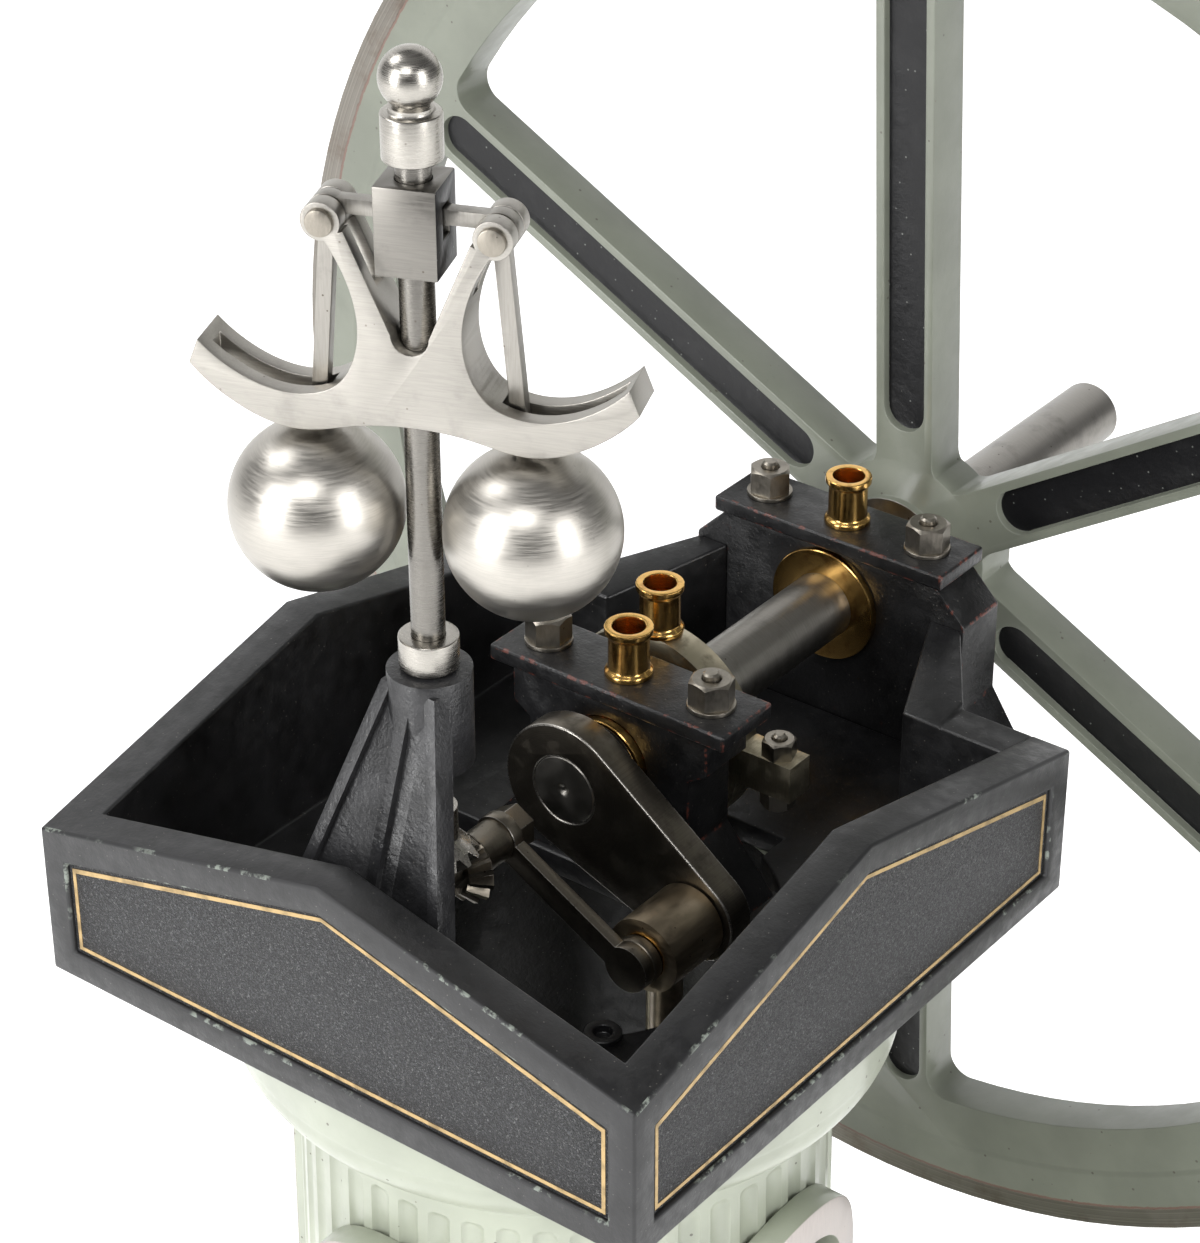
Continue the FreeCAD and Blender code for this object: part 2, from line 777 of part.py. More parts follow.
def tooth_section(share):
    """Outline of a tooth at this share of the way from the gear's apex."""
    pitch = 2 * math.pi * gear_pitch_radius / gear_teeth
    root, tip = -tooth_bite * gear_down, gear_up
    corners = []
    for side, grow, width in ((-1, root, tooth_root_share), (-1, tip, tooth_tip_share),
                              (1, tip, tooth_tip_share), (1, root, tooth_root_share)):
        corners.append(V((gear_pitch_radius + grow) * share, side * width * pitch * share,
                         (gear_pitch_radius - grow) * share))
    return Part.makePolygon(corners + [corners[0]])


def bevel_gear(phase):
    """Mitre gear: apex at the origin, axis +Z, teeth facing the apex."""
    inner_share = 1 - gear_face / (gear_pitch_radius * math.sqrt(2))
    root_out, root_high = gear_pitch_radius - gear_down, gear_pitch_radius + gear_down
    root_low = root_high * inner_share
    blank = turned([(0, root_low), (root_out * inner_share, root_low), (root_out, root_high),
                    (gear_hub_radius, gear_back), (0, gear_back)])
    tooth = Part.makeLoft([tooth_section(inner_share), tooth_section(1.0)], True, True)
    teeth = [spun(tooth, (0, 0, 0), Z, phase + 2 * half_tooth * k) for k in range(gear_teeth)]
    return fused([blank] + teeth)


def drive_gear():
    gear = bevel_gear(90)
    gear.rotate(ORIGIN, X, -90)
    hub_reach = link_front - governor_y
    hub = rod(gear_hub_radius, (0, gear_back, 0), hub_reach - gear_back, Y)
    stub = rod(stub_radius, (0, -stub_tail, 0), stub_tail + hub_reach, Y)
    whole = fused([gear, hub, stub])
    whole.translate(V(0, governor_y, axis_z))
    save("drive_gear", whole)


def spindle_gear():
    gear = bevel_gear(90 + half_tooth)
    hub = rod(gear_hub_radius, (0, 0, gear_back), gear_hub_length)
    whole = fused([gear, hub])
    whole = whole.cut(rod(spindle_radius, (0, 0, 0), gear_back + gear_hub_length))
    whole.translate(V(0, governor_y, axis_z))
    save("spindle_gear", whole)


def governor_spindle():
    low = shaft_height + gear_pitch_radius * (1 - gear_face / (gear_pitch_radius * math.sqrt(2)))
    save("governor_spindle", placed(rod(spindle_radius, (0, 0, low), finial_collar[0] - low)))


def governor_finial():
    low, high = finial_collar
    neck_top = finial_centre - math.sqrt(finial_ball ** 2 - finial_neck ** 2)
    collar = rod(finial_collar_radius, (0, 0, low), high - low)
    neck = rod(finial_neck, (0, 0, high), neck_top - high)
    ball = Part.makeSphere(finial_ball, V(0, 0, finial_centre))
    save("governor_finial", placed(fused([collar, neck, ball])))


def spindle_collar():
    save("spindle_collar", placed(ring(spindle_collar_radius, spindle_radius,
                                       (0, 0, post_top + side_play), spindle_collar_height)))


def anchor_plate():
    """The anchor's flat outline, drawn on its front face and extruded."""
    front = -anchor_thick / 2

    def at(point):
        return V(point[0], front, point[1])

    def smooth(points):
        curve = Part.BSplineCurve()
        curve.interpolate([at(p) for p in points])
        return curve.toShape()

    under = list(anchor_under) + [(0, anchor_middle)]
    under = under + [(-x, z) for x, z in reversed(anchor_under)]
    right, left = list(anchor_over), [(-x, z) for x, z in anchor_over]
    notch_side = (notch_radius, notch_bottom + notch_radius)
    top_right, top_left = notch_top, (-notch_top[0], notch_top[1])
    low_right, low_left = notch_side, (-notch_side[0], notch_side[1])
    round_end = Part.Arc(at(low_left), at((0, notch_bottom)), at(low_right)).toShape()
    straight = [(under[-1], left[0]), (left[-1], top_left), (top_left, low_left),
                (low_right, top_right), (top_right, right[-1]), (right[0], under[0])]
    edges = [smooth(under), smooth(left), smooth(right), round_end]
    edges += [Part.makeLine(at(a), at(b)) for a, b in straight]
    wire = Part.Wire(Part.__sortEdges__(edges))
    return Part.Face(wire).extrude(V(0, anchor_thick, 0))


def governor_anchor():
    pin_x0, pin_z0 = anchor_pin
    front = -anchor_thick / 2
    gap = lever_thick / 2 + slot_play
    above = pin_z0 + 2 * anchor_ear_radius
    below = anchor_under[2][1] - anchor_ear_radius
    ears = [rod(anchor_ear_radius, (side * pin_x0, front, pin_z0), anchor_thick, Y)
            for side in (-1, 1)]
    anchor = fused([anchor_plate()] + ears)
    slots = fused([box(arc_slot[0], arc_slot[1], -gap, gap, below, anchor_over[0][1]),
                   box(spindle_radius, pin_x0 + 2 * anchor_ear_radius, -gap, gap,
                       ear_slot_low, above),
                   rod(pivot_radius, (pin_x0, front, pin_z0), anchor_thick, Y)])
    anchor = anchor.cut(slots).cut(mirrored(slots))
    anchor = anchor.cut(rod(spindle_radius, (0, 0, below), above - below))
    save("governor_anchor", placed(anchor))


def pivot_pins():
    pins = []
    front = -anchor_thick / 2
    for side in (-1, 1):
        x, z = side * anchor_pin[0], anchor_pin[1]
        pins.append(fused([rod(pivot_radius, (x, front, z), anchor_thick, Y),
                           rod(pivot_head_radius, (x, front - pivot_head, z), pivot_head, Y),
                           rod(pivot_head_radius, (x, -front, z), pivot_head, Y)]))
    save("pivot_pins", *[placed(pin) for pin in pins])


def ball_lever():
    x0, z0 = anchor_pin
    bx, bz = ball_centre
    back, thick, wide = -lever_thick / 2, lever_thick, lever_half_width
    arm = box(-wide, wide, back, -back, -math.hypot(bx - x0, bz - z0), 0)
    arm.rotate(ORIGIN, Y, -math.degrees(math.atan2(bx - x0, z0 - bz)))
    arm.translate(V(x0, 0, z0))
    nose_z = z0 + nose_rise
    finger = box(nose_x, x0, back, -back, nose_z - wide, nose_z + wide)
    tip = rod(nose_radius, (nose_x, back, nose_z), thick, Y)
    eye = rod(anchor_ear_radius, (x0, back, z0), thick, Y)
    lever = fused([arm, finger, tip, eye])
    lever = lever.cut(rod(pivot_radius + running_fit, (x0, back, z0), thick, Y))
    return lever.cut(Part.makeSphere(ball_radius, V(bx, 0, bz)))


def ball_levers():
    lever = ball_lever()
    ball = Part.makeSphere(ball_radius, V(ball_centre[0], 0, ball_centre[1]))
    save("right_ball_lever", placed(lever))
    save("left_ball_lever", placed(mirrored(lever)))
    save("right_ball", placed(ball))
    save("left_ball", placed(mirrored(ball)))


def sliding_block():
    wide = block_half
    block = box(-wide, wide, -wide, wide, block_bottom, block_bottom + block_height)
    block = block.cut(rod(spindle_radius + running_fit, (0, 0, block_bottom), block_height))
    gap = lever_thick / 2 + slot_play
    reach = nose_radius + slot_play
    nose_z = anchor_pin[1] + nose_rise
    slot = box(nose_x - reach, wide, -gap, gap, nose_z - reach - block_slot_foot, nose_z + reach)
    save("sliding_block", placed(block.cut(slot).cut(mirrored(slot))))


def post_slope(share):
    """Height, half width and face of the sloping plate, from foot (0) to top (1)."""
    low, high = tray_base + post_knee, tray_base + post_top - post_shoulder
    half_width = post_half_foot + (post_half_top - post_half_foot) * share
    face = -inner + (governor_y - post_reach + inner) * share
    return low + (high - low) * share, half_width, face


def sloping(middle, half_width, proud, depth):
    """Bar up the plate; middle and half width are (foot, top) pairs."""
    wires = []
    for end in (0, 1):
        z, wide, face = post_slope(end)
        x0, x1 = middle[end] - half_width[end], middle[end] + half_width[end]
        y0, y1 = face - proud, face + depth
        wires.append(Part.makePolygon([V(x0, y0, z), V(x1, y0, z), V(x1, y1, z),
                                       V(x0, y1, z), V(x0, y0, z)]))
    return Part.makeLoft(wires, True, True)


def governor_post():
    floor = tray_base + tray_floor
    head_low = tray_base + post_top - post_boss_height
    plate = sloping((0, 0), (post_half_foot, post_half_top), 0, post_wall)
    foot = box(-post_half_foot, post_half_foot, -inner, post_wall - inner,
               floor, tray_base + post_knee)
    rib_half = post_rib_width / 2
    ribs = []
    for side in (-1, 0, 1):
        middle = (side * (post_half_foot - rib_half), side * (post_half_top - rib_half))
        ribs.append(sloping(middle, (rib_half, rib_half), post_rib, post_wall / 2))
    ribs = fused(ribs).common(box(-tray_side, tray_side, -inner, inner, floor, axis_z + tray_side))
    head = rod(post_boss_radius, (0, governor_y, head_low), post_boss_height)
    boss = rod(stub_boss_radius, (0, governor_y - stub_tail, axis_z), stub_boss_length, Y)
    body = fused([plate, foot, ribs, head, boss])
    spindle_bore = rod(spindle_radius + running_fit, (0, governor_y, floor), post_top)
    stub_bore = rod(stub_radius + running_fit, (0, governor_y - stub_tail, axis_z),
                    stub_tail, Y)
    save("governor_post", body.cut(spindle_bore).cut(stub_bore))


# ---- cylinder, crosshead and valve ---------------------------------------
yoke_top = axis_z - crank_throw - rod_length - small_end_radius - side_play
yoke_low = yoke_top - yoke_height
cover_top = yoke_low - piston_rod_show
cylinder_top = cover_top - cylinder_flange
cylinder_flange_radius = cylinder_radius + cylinder_flange_out
chest_bottom = base_thick + chest_low
chest_top = cylinder_top - chest_high
valve_fork_low = axis_z - eccentric_throw - strap_rod_length - valve_eye_radius - side_play
bracket_low = tray_base - bracket_drop


def cylinder():
    centre = (0, cylinder_y, base_thick)
    foot = rod(cylinder_flange_radius, centre, cylinder_flange)
    body = rod(cylinder_radius, centre, cylinder_top - base_thick)
    flange = rod(cylinder_flange_radius, (0, cylinder_y, cylinder_top - cylinder_flange),
                 cylinder_flange)
    save("cylinder", fused([foot, body, flange]))


def cylinder_cover():
    cover = rod(cylinder_flange_radius, (0, cylinder_y, cylinder_top), cylinder_flange)
    gland = rod(gland_radius, (0, cylinder_y, cover_top), gland_height)
    bore = rod(piston_rod_radius, (0, cylinder_y, cylinder_top), cylinder_flange + gland_height)
    save("cylinder_cover", fused([cover, gland]).cut(bore))


def piston_rod():
    save("piston_rod", rod(piston_rod_radius, (0, cylinder_y, cylinder_top),
                           yoke_low + yoke_socket - cylinder_top))


def guide_bars():
    length = bracket_low + bracket_height - cover_top
    save("guide_bars", *[rod(guide_radius, (side * guide_x, guide_y, cover_top), length)
                         for side in (-1, 1)])


def guide_bracket():
    reach = column_bore
    bar = box(-reach, reach, guide_y - bracket_half_width, guide_y + bracket_half_width,
              bracket_low, bracket_low + bracket_height)
    bar = bar.common(rod(column_bore, (0, 0, bracket_low), bracket_height))
    for side in (-1, 1):
        bar = bar.cut(rod(guide_radius, (side * guide_x, guide_y, bracket_low), bracket_height))
    save("guide_bracket", bar)


def crosshead():
    wide = yoke_half_width
    front, back = big_end_front - side_play, big_end_back + side_play
    top = yoke_top + cheek_height
    arm = guide_x + guide_radius + shoe_wall
    shoe_front, shoe_back = (guide_y - guide_radius - shoe_wall,
                             guide_y + guide_radius + shoe_wall)
    body = fused([box(-wide, wide, front - yoke_wall, shoe_front, yoke_low, yoke_top),
                  box(-wide, wide, front - yoke_wall, front, yoke_low, top),
                  box(-wide, wide, back, shoe_front, yoke_low, top),
                  box(-arm, arm, shoe_front, shoe_back, yoke_low, top)])
    body = body.cut(rod(piston_rod_radius, (0, cylinder_y, yoke_low), yoke_socket))
    for side in (-1, 1):
        body = body.cut(rod(guide_radius + running_fit, (side * guide_x, guide_y, yoke_low),
                            top - yoke_low))
    save("crosshead", body)


def valve_chest():
    back = cylinder_y + cylinder_radius + chest_depth
    chest = box(-chest_half_width, chest_half_width, cylinder_y, back, chest_bottom, chest_top)
    chest = chest.cut(rod(cylinder_radius, (0, cylinder_y, chest_bottom),
                          chest_top - chest_bottom))
    gland = rod(chest_gland_radius, (0, eccentric_y, chest_top), chest_gland_height)
    middle = (chest_bottom + chest_top) / 2
    bore = rod(valve_stem_radius, (0, eccentric_y, middle),
               chest_top + chest_gland_height - middle)
    save("valve_chest", fused([chest, gland]).cut(bore))


def valve_spindle():
    gap = valve_eye_thick / 2 + side_play
    wide, wall = valve_fork_half_width, valve_fork_wall
    low, high = valve_fork_low - valve_fork_wall, valve_fork_low + valve_fork_height
    middle = (chest_bottom + chest_top) / 2
    stem = rod(valve_stem_radius, (0, eccentric_y, middle), low - middle)
    outer = box(-wide, wide, eccentric_y - gap - wall, eccentric_y + gap + wall, low, high)
    space = box(-wide, wide, eccentric_y - gap, eccentric_y + gap, valve_fork_low, high)
    save("valve_spindle", fused([stem, outer.cut(space)]))


def main():
    os.makedirs("parts", exist_ok=True)
    base_plate()
    plinth()
    column_foot()
    column()
    window_frames()
    capital()
    tray()
    side_plates()
    pedestals()
    bearing_caps()
    bearing_bushes()
    cap_nuts()
    cap_oil_cups()
    crankshaft()
    crank_web()
    crank_pin()
    drag_link()
    connecting_rod()
    big_end_brass()
    eccentric_sheave()
    eccentric_strap()
    strap_oil_cup()
    flywheel()
    drive_gear()
    spindle_gear()
    governor_spindle()
    governor_finial()
    spindle_collar()
    governor_anchor()
    pivot_pins()
    ball_levers()
    sliding_block()
    governor_post()
    cylinder()
    cylinder_cover()
    piston_rod()
    guide_bars()
    guide_bracket()
    crosshead()
    valve_chest()
    valve_spindle()


main()
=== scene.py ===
import json
import math

import bmesh
import bpy
from bpy.props import FloatProperty, FloatVectorProperty, IntProperty, PointerProperty
from mathutils import Matrix, Vector

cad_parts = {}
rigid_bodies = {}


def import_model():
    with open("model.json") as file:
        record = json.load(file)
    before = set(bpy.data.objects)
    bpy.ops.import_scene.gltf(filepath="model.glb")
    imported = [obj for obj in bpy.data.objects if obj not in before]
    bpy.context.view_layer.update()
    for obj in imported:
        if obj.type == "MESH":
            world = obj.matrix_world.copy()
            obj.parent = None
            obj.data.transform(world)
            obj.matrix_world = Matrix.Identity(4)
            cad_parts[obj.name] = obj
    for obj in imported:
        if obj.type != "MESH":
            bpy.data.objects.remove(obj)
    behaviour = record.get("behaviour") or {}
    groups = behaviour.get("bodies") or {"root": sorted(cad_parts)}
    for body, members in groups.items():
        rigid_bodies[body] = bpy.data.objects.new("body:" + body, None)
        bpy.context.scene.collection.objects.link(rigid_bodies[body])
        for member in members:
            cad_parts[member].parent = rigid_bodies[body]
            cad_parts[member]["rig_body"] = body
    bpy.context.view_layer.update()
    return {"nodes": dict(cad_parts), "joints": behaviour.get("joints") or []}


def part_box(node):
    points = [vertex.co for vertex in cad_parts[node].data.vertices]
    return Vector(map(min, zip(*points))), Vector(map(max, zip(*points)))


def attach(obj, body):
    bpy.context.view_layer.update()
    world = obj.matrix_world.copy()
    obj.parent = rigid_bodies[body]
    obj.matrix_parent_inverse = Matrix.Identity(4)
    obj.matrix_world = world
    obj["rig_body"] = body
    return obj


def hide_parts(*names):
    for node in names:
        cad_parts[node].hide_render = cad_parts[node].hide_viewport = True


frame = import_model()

bl_info = {
    "name": "Column steam engine",
    "version": (1, 0, 0),
    "blender": (4, 5, 0),
    "location": "3D View > Sidebar > Engine",
    "description": "Finishes the packed model of a column steam engine",
    "category": "Object",
}

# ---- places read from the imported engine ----
MM = 0.001
JOINTS = {joint["name"]: joint for joint in frame["joints"]}
UP = Vector((0, 0, 1))
ALONG = Vector((0, 1, 0))          # the crankshaft's direction


def joint_at(name):
    return Vector(JOINTS[name]["pos_m"])


SHAFT_Z = joint_at("crank_turn").z
GOVERNOR = Vector(joint_at("governor_turn").xy.to_3d())
LEVER_AXIS = Vector(JOINTS["right_lever_swing"]["axis"])
GOVERNOR_ANGLE = math.atan2(LEVER_AXIS.x, -LEVER_AXIS.y)
TRAY_LOW, TRAY_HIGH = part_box("tray")
TRAY_BASE = TRAY_LOW.z
TRAY_HALF = TRAY_HIGH.x
WHEEL_LOW, WHEEL_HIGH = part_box("flywheel")
WHEEL_RADIUS = (WHEEL_HIGH.x - WHEEL_LOW.x) / 2
WHEEL_FRONT = WHEEL_LOW.y + 3.4 * MM     # the face behind the hub's ring
WHEEL_BACK = WHEEL_HIGH.y - 2.0 * MM     # the same at the back
RECESS = 1.5 * MM                        # depth of the spokes' recesses
SHAFT_LOW, SHAFT_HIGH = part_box("crankshaft")
HUB_SEAT = 0.5 * MM                      # the shaft is thicker in the wheel's hub
SHAFT_RADIUS = (SHAFT_HIGH.z - SHAFT_LOW.z) / 2 - HUB_SEAT
CRANK_PIN = joint_at("rod_turn")
SHEAVE = joint_at("strap_turn")
SPINDLE = 2.3 * MM                       # radius of the governor's spindle
CAP_LENGTH = 12 * MM                     # a bearing cap, along the shaft
STUD_REACH = 14.7 * MM                   # from the shaft to a cap's stud
LUG_REACH = 21.8 * MM                    # from the sheave to a lug's bolt
WASHER = 0.7 * MM
FLOOR_SCREW = Vector((23.4 * MM, -21.3 * MM, TRAY_BASE + 4.0 * MM))
WALL_CORNER, WALL_PEAK = 24.4 * MM, 36.6 * MM   # heights of the tray's walls
PLATE_FRAME = 4.5 * MM                   # the wall's edge round a side plate
PLATE_SUNK = 0.7 * MM
COLUMN_TAPER, COLUMN_WALL = 2.0 * MM, 5.0 * MM
FLUTE_REACH = 1.65 * MM                  # half a flute's width
CAPITAL_NECK, CAPITAL_BORE = 40.8 * MM, 35 * MM
SHARP, CRISP, FLAT = math.radians(28), math.radians(32), math.radians(0.8)


# ---- what a user may change ----
def colour(name, description, value):
    return FloatVectorProperty(name=name, description=description, default=value,
                               subtype="COLOR", size=3, min=0, max=1)


def length(name, description, millimetres):
    return FloatProperty(name=name, description=description, default=millimetres * MM,
                         subtype="DISTANCE", unit="LENGTH", precision=5, min=0)


class PaintColours(bpy.types.PropertyGroup):
    """Colours of the painted castings"""
    green: colour("Green enamel", "Wheel, column and foot", (0.285, 0.305, 0.245))
    black: colour("Black enamel", "Tray, pedestals and caps", (0.007, 0.007, 0.0075))
    plate: colour("Plate", "Grained side plates", (0.013, 0.0135, 0.0155))
    primer: colour("Primer", "Shows where the black is worn through", (0.16, 0.045, 0.030))
    gilt: colour("Gilt", "Border lines of the side plates", (0.50, 0.35, 0.16))
    grain: length("Plate grain", "Size of one grain of the side plates", 0.34)


class MetalColours(bpy.types.PropertyGroup):
    """Colours of the bare metal"""
    steel: colour("Bright steel", "Governor, shaft and frames", (0.42, 0.40, 0.365))
    oily: colour("Oily steel", "Crank, link and gears", (0.20, 0.178, 0.145))
    nut: colour("Nut steel", "Nuts and washers", (0.30, 0.275, 0.235))
    brass: colour("Brass", "Cups and bushes", (0.72, 0.44, 0.14))
    iron: colour("Machined iron", "Cylinder and the wheel's edge", (0.30, 0.28, 0.25))


class ColumnSizes(bpy.types.PropertyGroup):
    """Flutes and mouldings of the column"""
    flutes: IntProperty(name="Flutes", description="Number round the column",
                        default=48, min=8, max=96)
    flute_depth: length("Flute depth", "Depth of one flute", 0.75)
    flute_top: length("Plain band", "From the capital to the flute tops", 2.8)
    flute_foot: length("Plain foot", "From the foot moulding to the flutes", 6.0)
    window: length("Window", "Width of each arched window", 21.0)
    border: length("Window border", "Width of the frame round each window", 6.0)
    moulding: length("Neck moulding", "Height of the ring and fillet under the bowl", 4.2)
    bowl: length("Bowl", "Height of the capital's bowl", 7.8)


class WheelSizes(bpy.types.PropertyGroup):
    """Finish of the flywheel"""
    band: length("Bare band", "Bare edge of the rim's face", 3.6)
    edge: length("Casting edge", "Radius on the casting's edges", 0.7)
    step: length("Rim step", "Depth of the step turned in the rim's face", 0.25)


class DetailSizes(bpy.types.PropertyGroup):
    """Small sizes of the fittings"""
    line: length("Gilt line", "Width of the border line", 0.62)
    line_inset: length("Gilt inset", "Plate edge to the line", 0.7)
    casting_edge: length("Casting edge", "Radius on cast edges", 0.6)
    nut_flats: length("Nut", "Across the flats", 6.0)


class StageSizes(bpy.types.PropertyGroup):
    """Camera and lights"""
    lens: FloatProperty(name="Lens", description="Focal length in millimetres", default=101.7,
                        min=10, max=500)
    camera_place: FloatVectorProperty(
        name="Camera", description="Place over the middle of the tray's underside",
        default=(0.25946, -0.32694, 0.30456), subtype="TRANSLATION", unit="LENGTH")
    azimuth: FloatProperty(name="Azimuth", description="Where the camera stands",
                           default=math.radians(37.71), subtype="ANGLE")
    elevation: FloatProperty(name="Elevation", description="How far the camera looks down",
                             default=math.radians(31.16), subtype="ANGLE")
    roll: FloatProperty(name="Roll", description="Turn about the line of sight",
                        default=math.radians(-0.21), subtype="ANGLE")
    key: FloatProperty(name="Side lights", description="Strength of each side light",
                       default=0.62, min=0)
    surround: FloatProperty(name="Surround", description="Brightness all round",
                            default=0.27, min=0)


# ---- node helpers ----
def feed(tree, socket, value):
    """Links a socket to an input, or sets the input's value."""
    if isinstance(value, bpy.types.NodeSocket):
        tree.links.new(value, socket)
    elif socket.type == "RGBA":
        socket.default_value = (*value[:3], 1)
    else:
        socket.default_value = value


def add(tree, kind, inputs=None, **settings):
    """Adds a node and feeds its inputs."""
    node = tree.nodes.new(kind)
    for name, value in settings.items():
        setattr(node, name, value)
    for name, value in (inputs or {}).items():
        feed(tree, node.inputs[name], value)
    return node


def calculated(tree, kind, first, second=0.0):
    """What a math node makes of two values."""
    return add(tree, "ShaderNodeMath", {0: first, 1: second}, operation=kind).outputs[0]


def vector_made(tree, kind, *values):
    """What a vector math node makes: a length or a product is a number."""
    node = add(tree, "ShaderNodeVectorMath", dict(enumerate(values)), operation=kind)
    return node.outputs[int(kind in ("LENGTH", "DOT_PRODUCT"))]


def spread(tree, value, low, high, at_low, at_high, **settings):
    """Carries a value from one range to another."""
    return add(tree, "ShaderNodeMapRange",
               {"Value": value, "From Min": low, "From Max": high, "To Min": at_low,
                "To Max": at_high}, **settings).outputs["Result"]


class Finish:
    """One node material on Object coordinates."""

    def __init__(self, name, grain=(1, 1, 1), turn=0.0):
        self.material = bpy.data.materials.new(name)
        self.material.use_nodes = True
        self.tree = self.material.node_tree
        self.tree.nodes.clear()
        out = add(self.tree, "ShaderNodeOutputMaterial")
        self.shader = add(self.tree, "ShaderNodeBsdfPrincipled")
        self.tree.links.new(self.shader.outputs["BSDF"], out.inputs["Surface"])
        self.place = add(self.tree, "ShaderNodeTexCoord").outputs["Object"]
        turned_place = add(self.tree, "ShaderNodeMapping",
                           {"Vector": self.place, "Rotation": (0, 0, turn)}).outputs["Vector"]
        self.along = add(self.tree, "ShaderNodeMapping",
                         {"Vector": turned_place, "Scale": grain}).outputs["Vector"]

    def set(self, **values):
        """Feeds the shader's inputs."""
        for name, value in values.items():
            feed(self.tree, self.shader.inputs[name.replace("_", " ")], value)

    def noise(self, size, detail=3, rough=0.55, vector=None, warp=0.0):
        """Noise whose blotches are about size metres across."""
        return add(self.tree, "ShaderNodeTexNoise",
                   {"Vector": vector or self.place, "Scale": 1 / size, "Detail": detail,
                    "Roughness": rough, "Distortion": warp}).outputs["Fac"]

    def ramp(self, value, low, high, at_low=0.0, at_high=1.0):
        """A smooth step between two values."""
        return spread(self.tree, value, low, high, at_low, at_high,
                      interpolation_type="SMOOTHSTEP")

    def mix(self, share, first, second):
        return add(self.tree, "ShaderNodeMix", {0: share, 6: first, 7: second},
                   data_type="RGBA").outputs[2]

    def times(self, first, second):
        return calculated(self.tree, "MULTIPLY", first, second)

    def blotched(self, shade, colour, size, low, high, share=1.0, detail=3, rough=0.55):
        """The shade with blotches of another colour, where the noise is high."""
        blotches = self.ramp(self.noise(size, detail, rough), low, high, 0.0, share)
        return self.mix(blotches, shade, colour)

    def specked(self, shade, colour, size, low, high, share):
        """The shade with round specks of another colour."""
        cells = add(self.tree, "ShaderNodeTexVoronoi",
                    {"Vector": self.place, "Scale": 1 / size}).outputs["Distance"]
        return self.mix(self.ramp(cells, low, high, share, 0.0), shade, colour)

    def bump(self, height, depth, below=None):
        """Bump of this depth in metres, on top of an earlier one."""
        inputs = {"Height": height, "Distance": depth, "Strength": 1.0}
        if below:
            inputs["Normal"] = below
        return add(self.tree, "ShaderNodeBump", inputs).outputs["Normal"]

    def radius_from(self, x, z):
        """Distance from a line along Y through (x, z)."""
        moved = vector_made(self.tree, "ADD", self.place, (-x, 0, -z))
        flat = vector_made(self.tree, "MULTIPLY", moved, (1, 0, 1))
        return vector_made(self.tree, "LENGTH", flat)

    def rings(self, radius, size):
        """Fine lines that run round, a new one every so often along the radius."""
        fine = add(self.tree, "ShaderNodeCombineXYZ", {"X": radius}).outputs["Vector"]
        return self.noise(size, 2, 0.6, fine)


def tinted(base, factor):
    return tuple(min(1.0, channel * factor) for channel in base)


# ---- paints ----
def enamelled(f, base, dark, light, chips_from):
    """Grey-green enamel over a casting, with dust, specks and chips."""
    tone = f.ramp(f.noise(14 * MM, 4), 0.30, 0.72)
    shade = f.mix(tone, tinted(base, dark), tinted(base, light))
    shade = f.blotched(shade, tinted(base, 0.72), 1.1 * MM, 0.66, 0.76, 0.35, 3, 0.6)
    shade = f.specked(shade, (0.07, 0.06, 0.045), 3.4 * MM, 0.055, 0.085, 0.75)
    return f.blotched(shade, (0.13, 0.075, 0.05), 2.3 * MM, chips_from, chips_from + 0.02,
                      1.0, 5, 0.62)


def green_enamel(paints):
    """Enamel of the column and foot, with a slight orange peel."""
    f = Finish("green_enamel")
    shade = enamelled(f, tinted(paints.green, 1.28), 0.90, 1.07, 0.745)
    peel = f.bump(f.noise(1.6 * MM, 2), 0.035 * MM)
    fine = f.bump(f.noise(0.35 * MM, 2), 0.006 * MM, peel)
    f.set(Base_Color=shade, Roughness=f.ramp(f.noise(4 * MM, 3), 0.3, 0.7, 0.30, 0.42),
          Normal=fine, Coat_Weight=0.35, Coat_Roughness=0.16)
    return f.material


def black_casting(paints, name, worn, coarse=1.0, pale=1.0):
    """Black enamel over a sand casting; worn is how much primer shows."""
    f = Finish(name)
    # a pale factor above 1 lightens the black as a painted sheen
    base = tinted(paints.black, pale)
    tone = f.ramp(f.noise(7 * MM, 4), 0.3, 0.7)
    shade = f.mix(tone, tinted(base, 0.75), tinted(base, 1.8))
    shade = f.specked(shade, (0.20, 0.19, 0.17), 1.25 * MM, 0.05, 0.10, 0.5)
    shade = f.blotched(shade, (0.075, 0.072, 0.068), 0.9 * MM, 0.64, 0.74, 0.35, 4, 0.65)
    shade = f.blotched(shade, paints.primer, 1.5 * MM, 0.70 - 0.24 * worn, 0.78 - 0.24 * worn,
                       worn, 4, 0.62)
    sand = f.bump(f.noise(0.62 * MM, 3, 0.6), 0.085 * coarse * MM)
    lumps = f.bump(f.noise(3.2 * MM, 2), 0.14 * coarse * MM, sand)
    f.set(Base_Color=shade, Roughness=f.ramp(f.noise(2.4 * MM, 4), 0.3, 0.7, 0.30, 0.48),
          Normal=lumps, Specular_IOR_Level=0.55)
    return f.material


def plate_grain(paints):
    """Wrinkled black ground of the side plates, with painted light and shade on its wrinkles and
    painted glints.
    """
    f = Finish("plate_grain")
    size = paints.grain
    peaks = f.ramp(f.noise(size, 3, 0.65, warp=0.8), 0.36, 0.68)
    # peaks painted lighter and hollows darker: painted light and shade on the wrinkles
    shade = f.mix(peaks, tinted(paints.plate, 0.1), tinted(paints.plate, 3.2))
    # pale spots: painted glints on the grain
    shade = f.blotched(shade, (0.26, 0.26, 0.26), 0.8 * size, 0.58, 0.70, 1.0, 2, 0.7)
    shade = f.blotched(shade, (0.055, 0.055, 0.055), 3.5 * MM, 0.55, 0.75, 0.3, 4)
    f.set(Base_Color=shade, Roughness=f.ramp(peaks, 0.0, 1.0, 0.5, 0.3),
          Normal=f.bump(peaks, 0.34 * MM), Specular_IOR_Level=0.7)
    return f.material


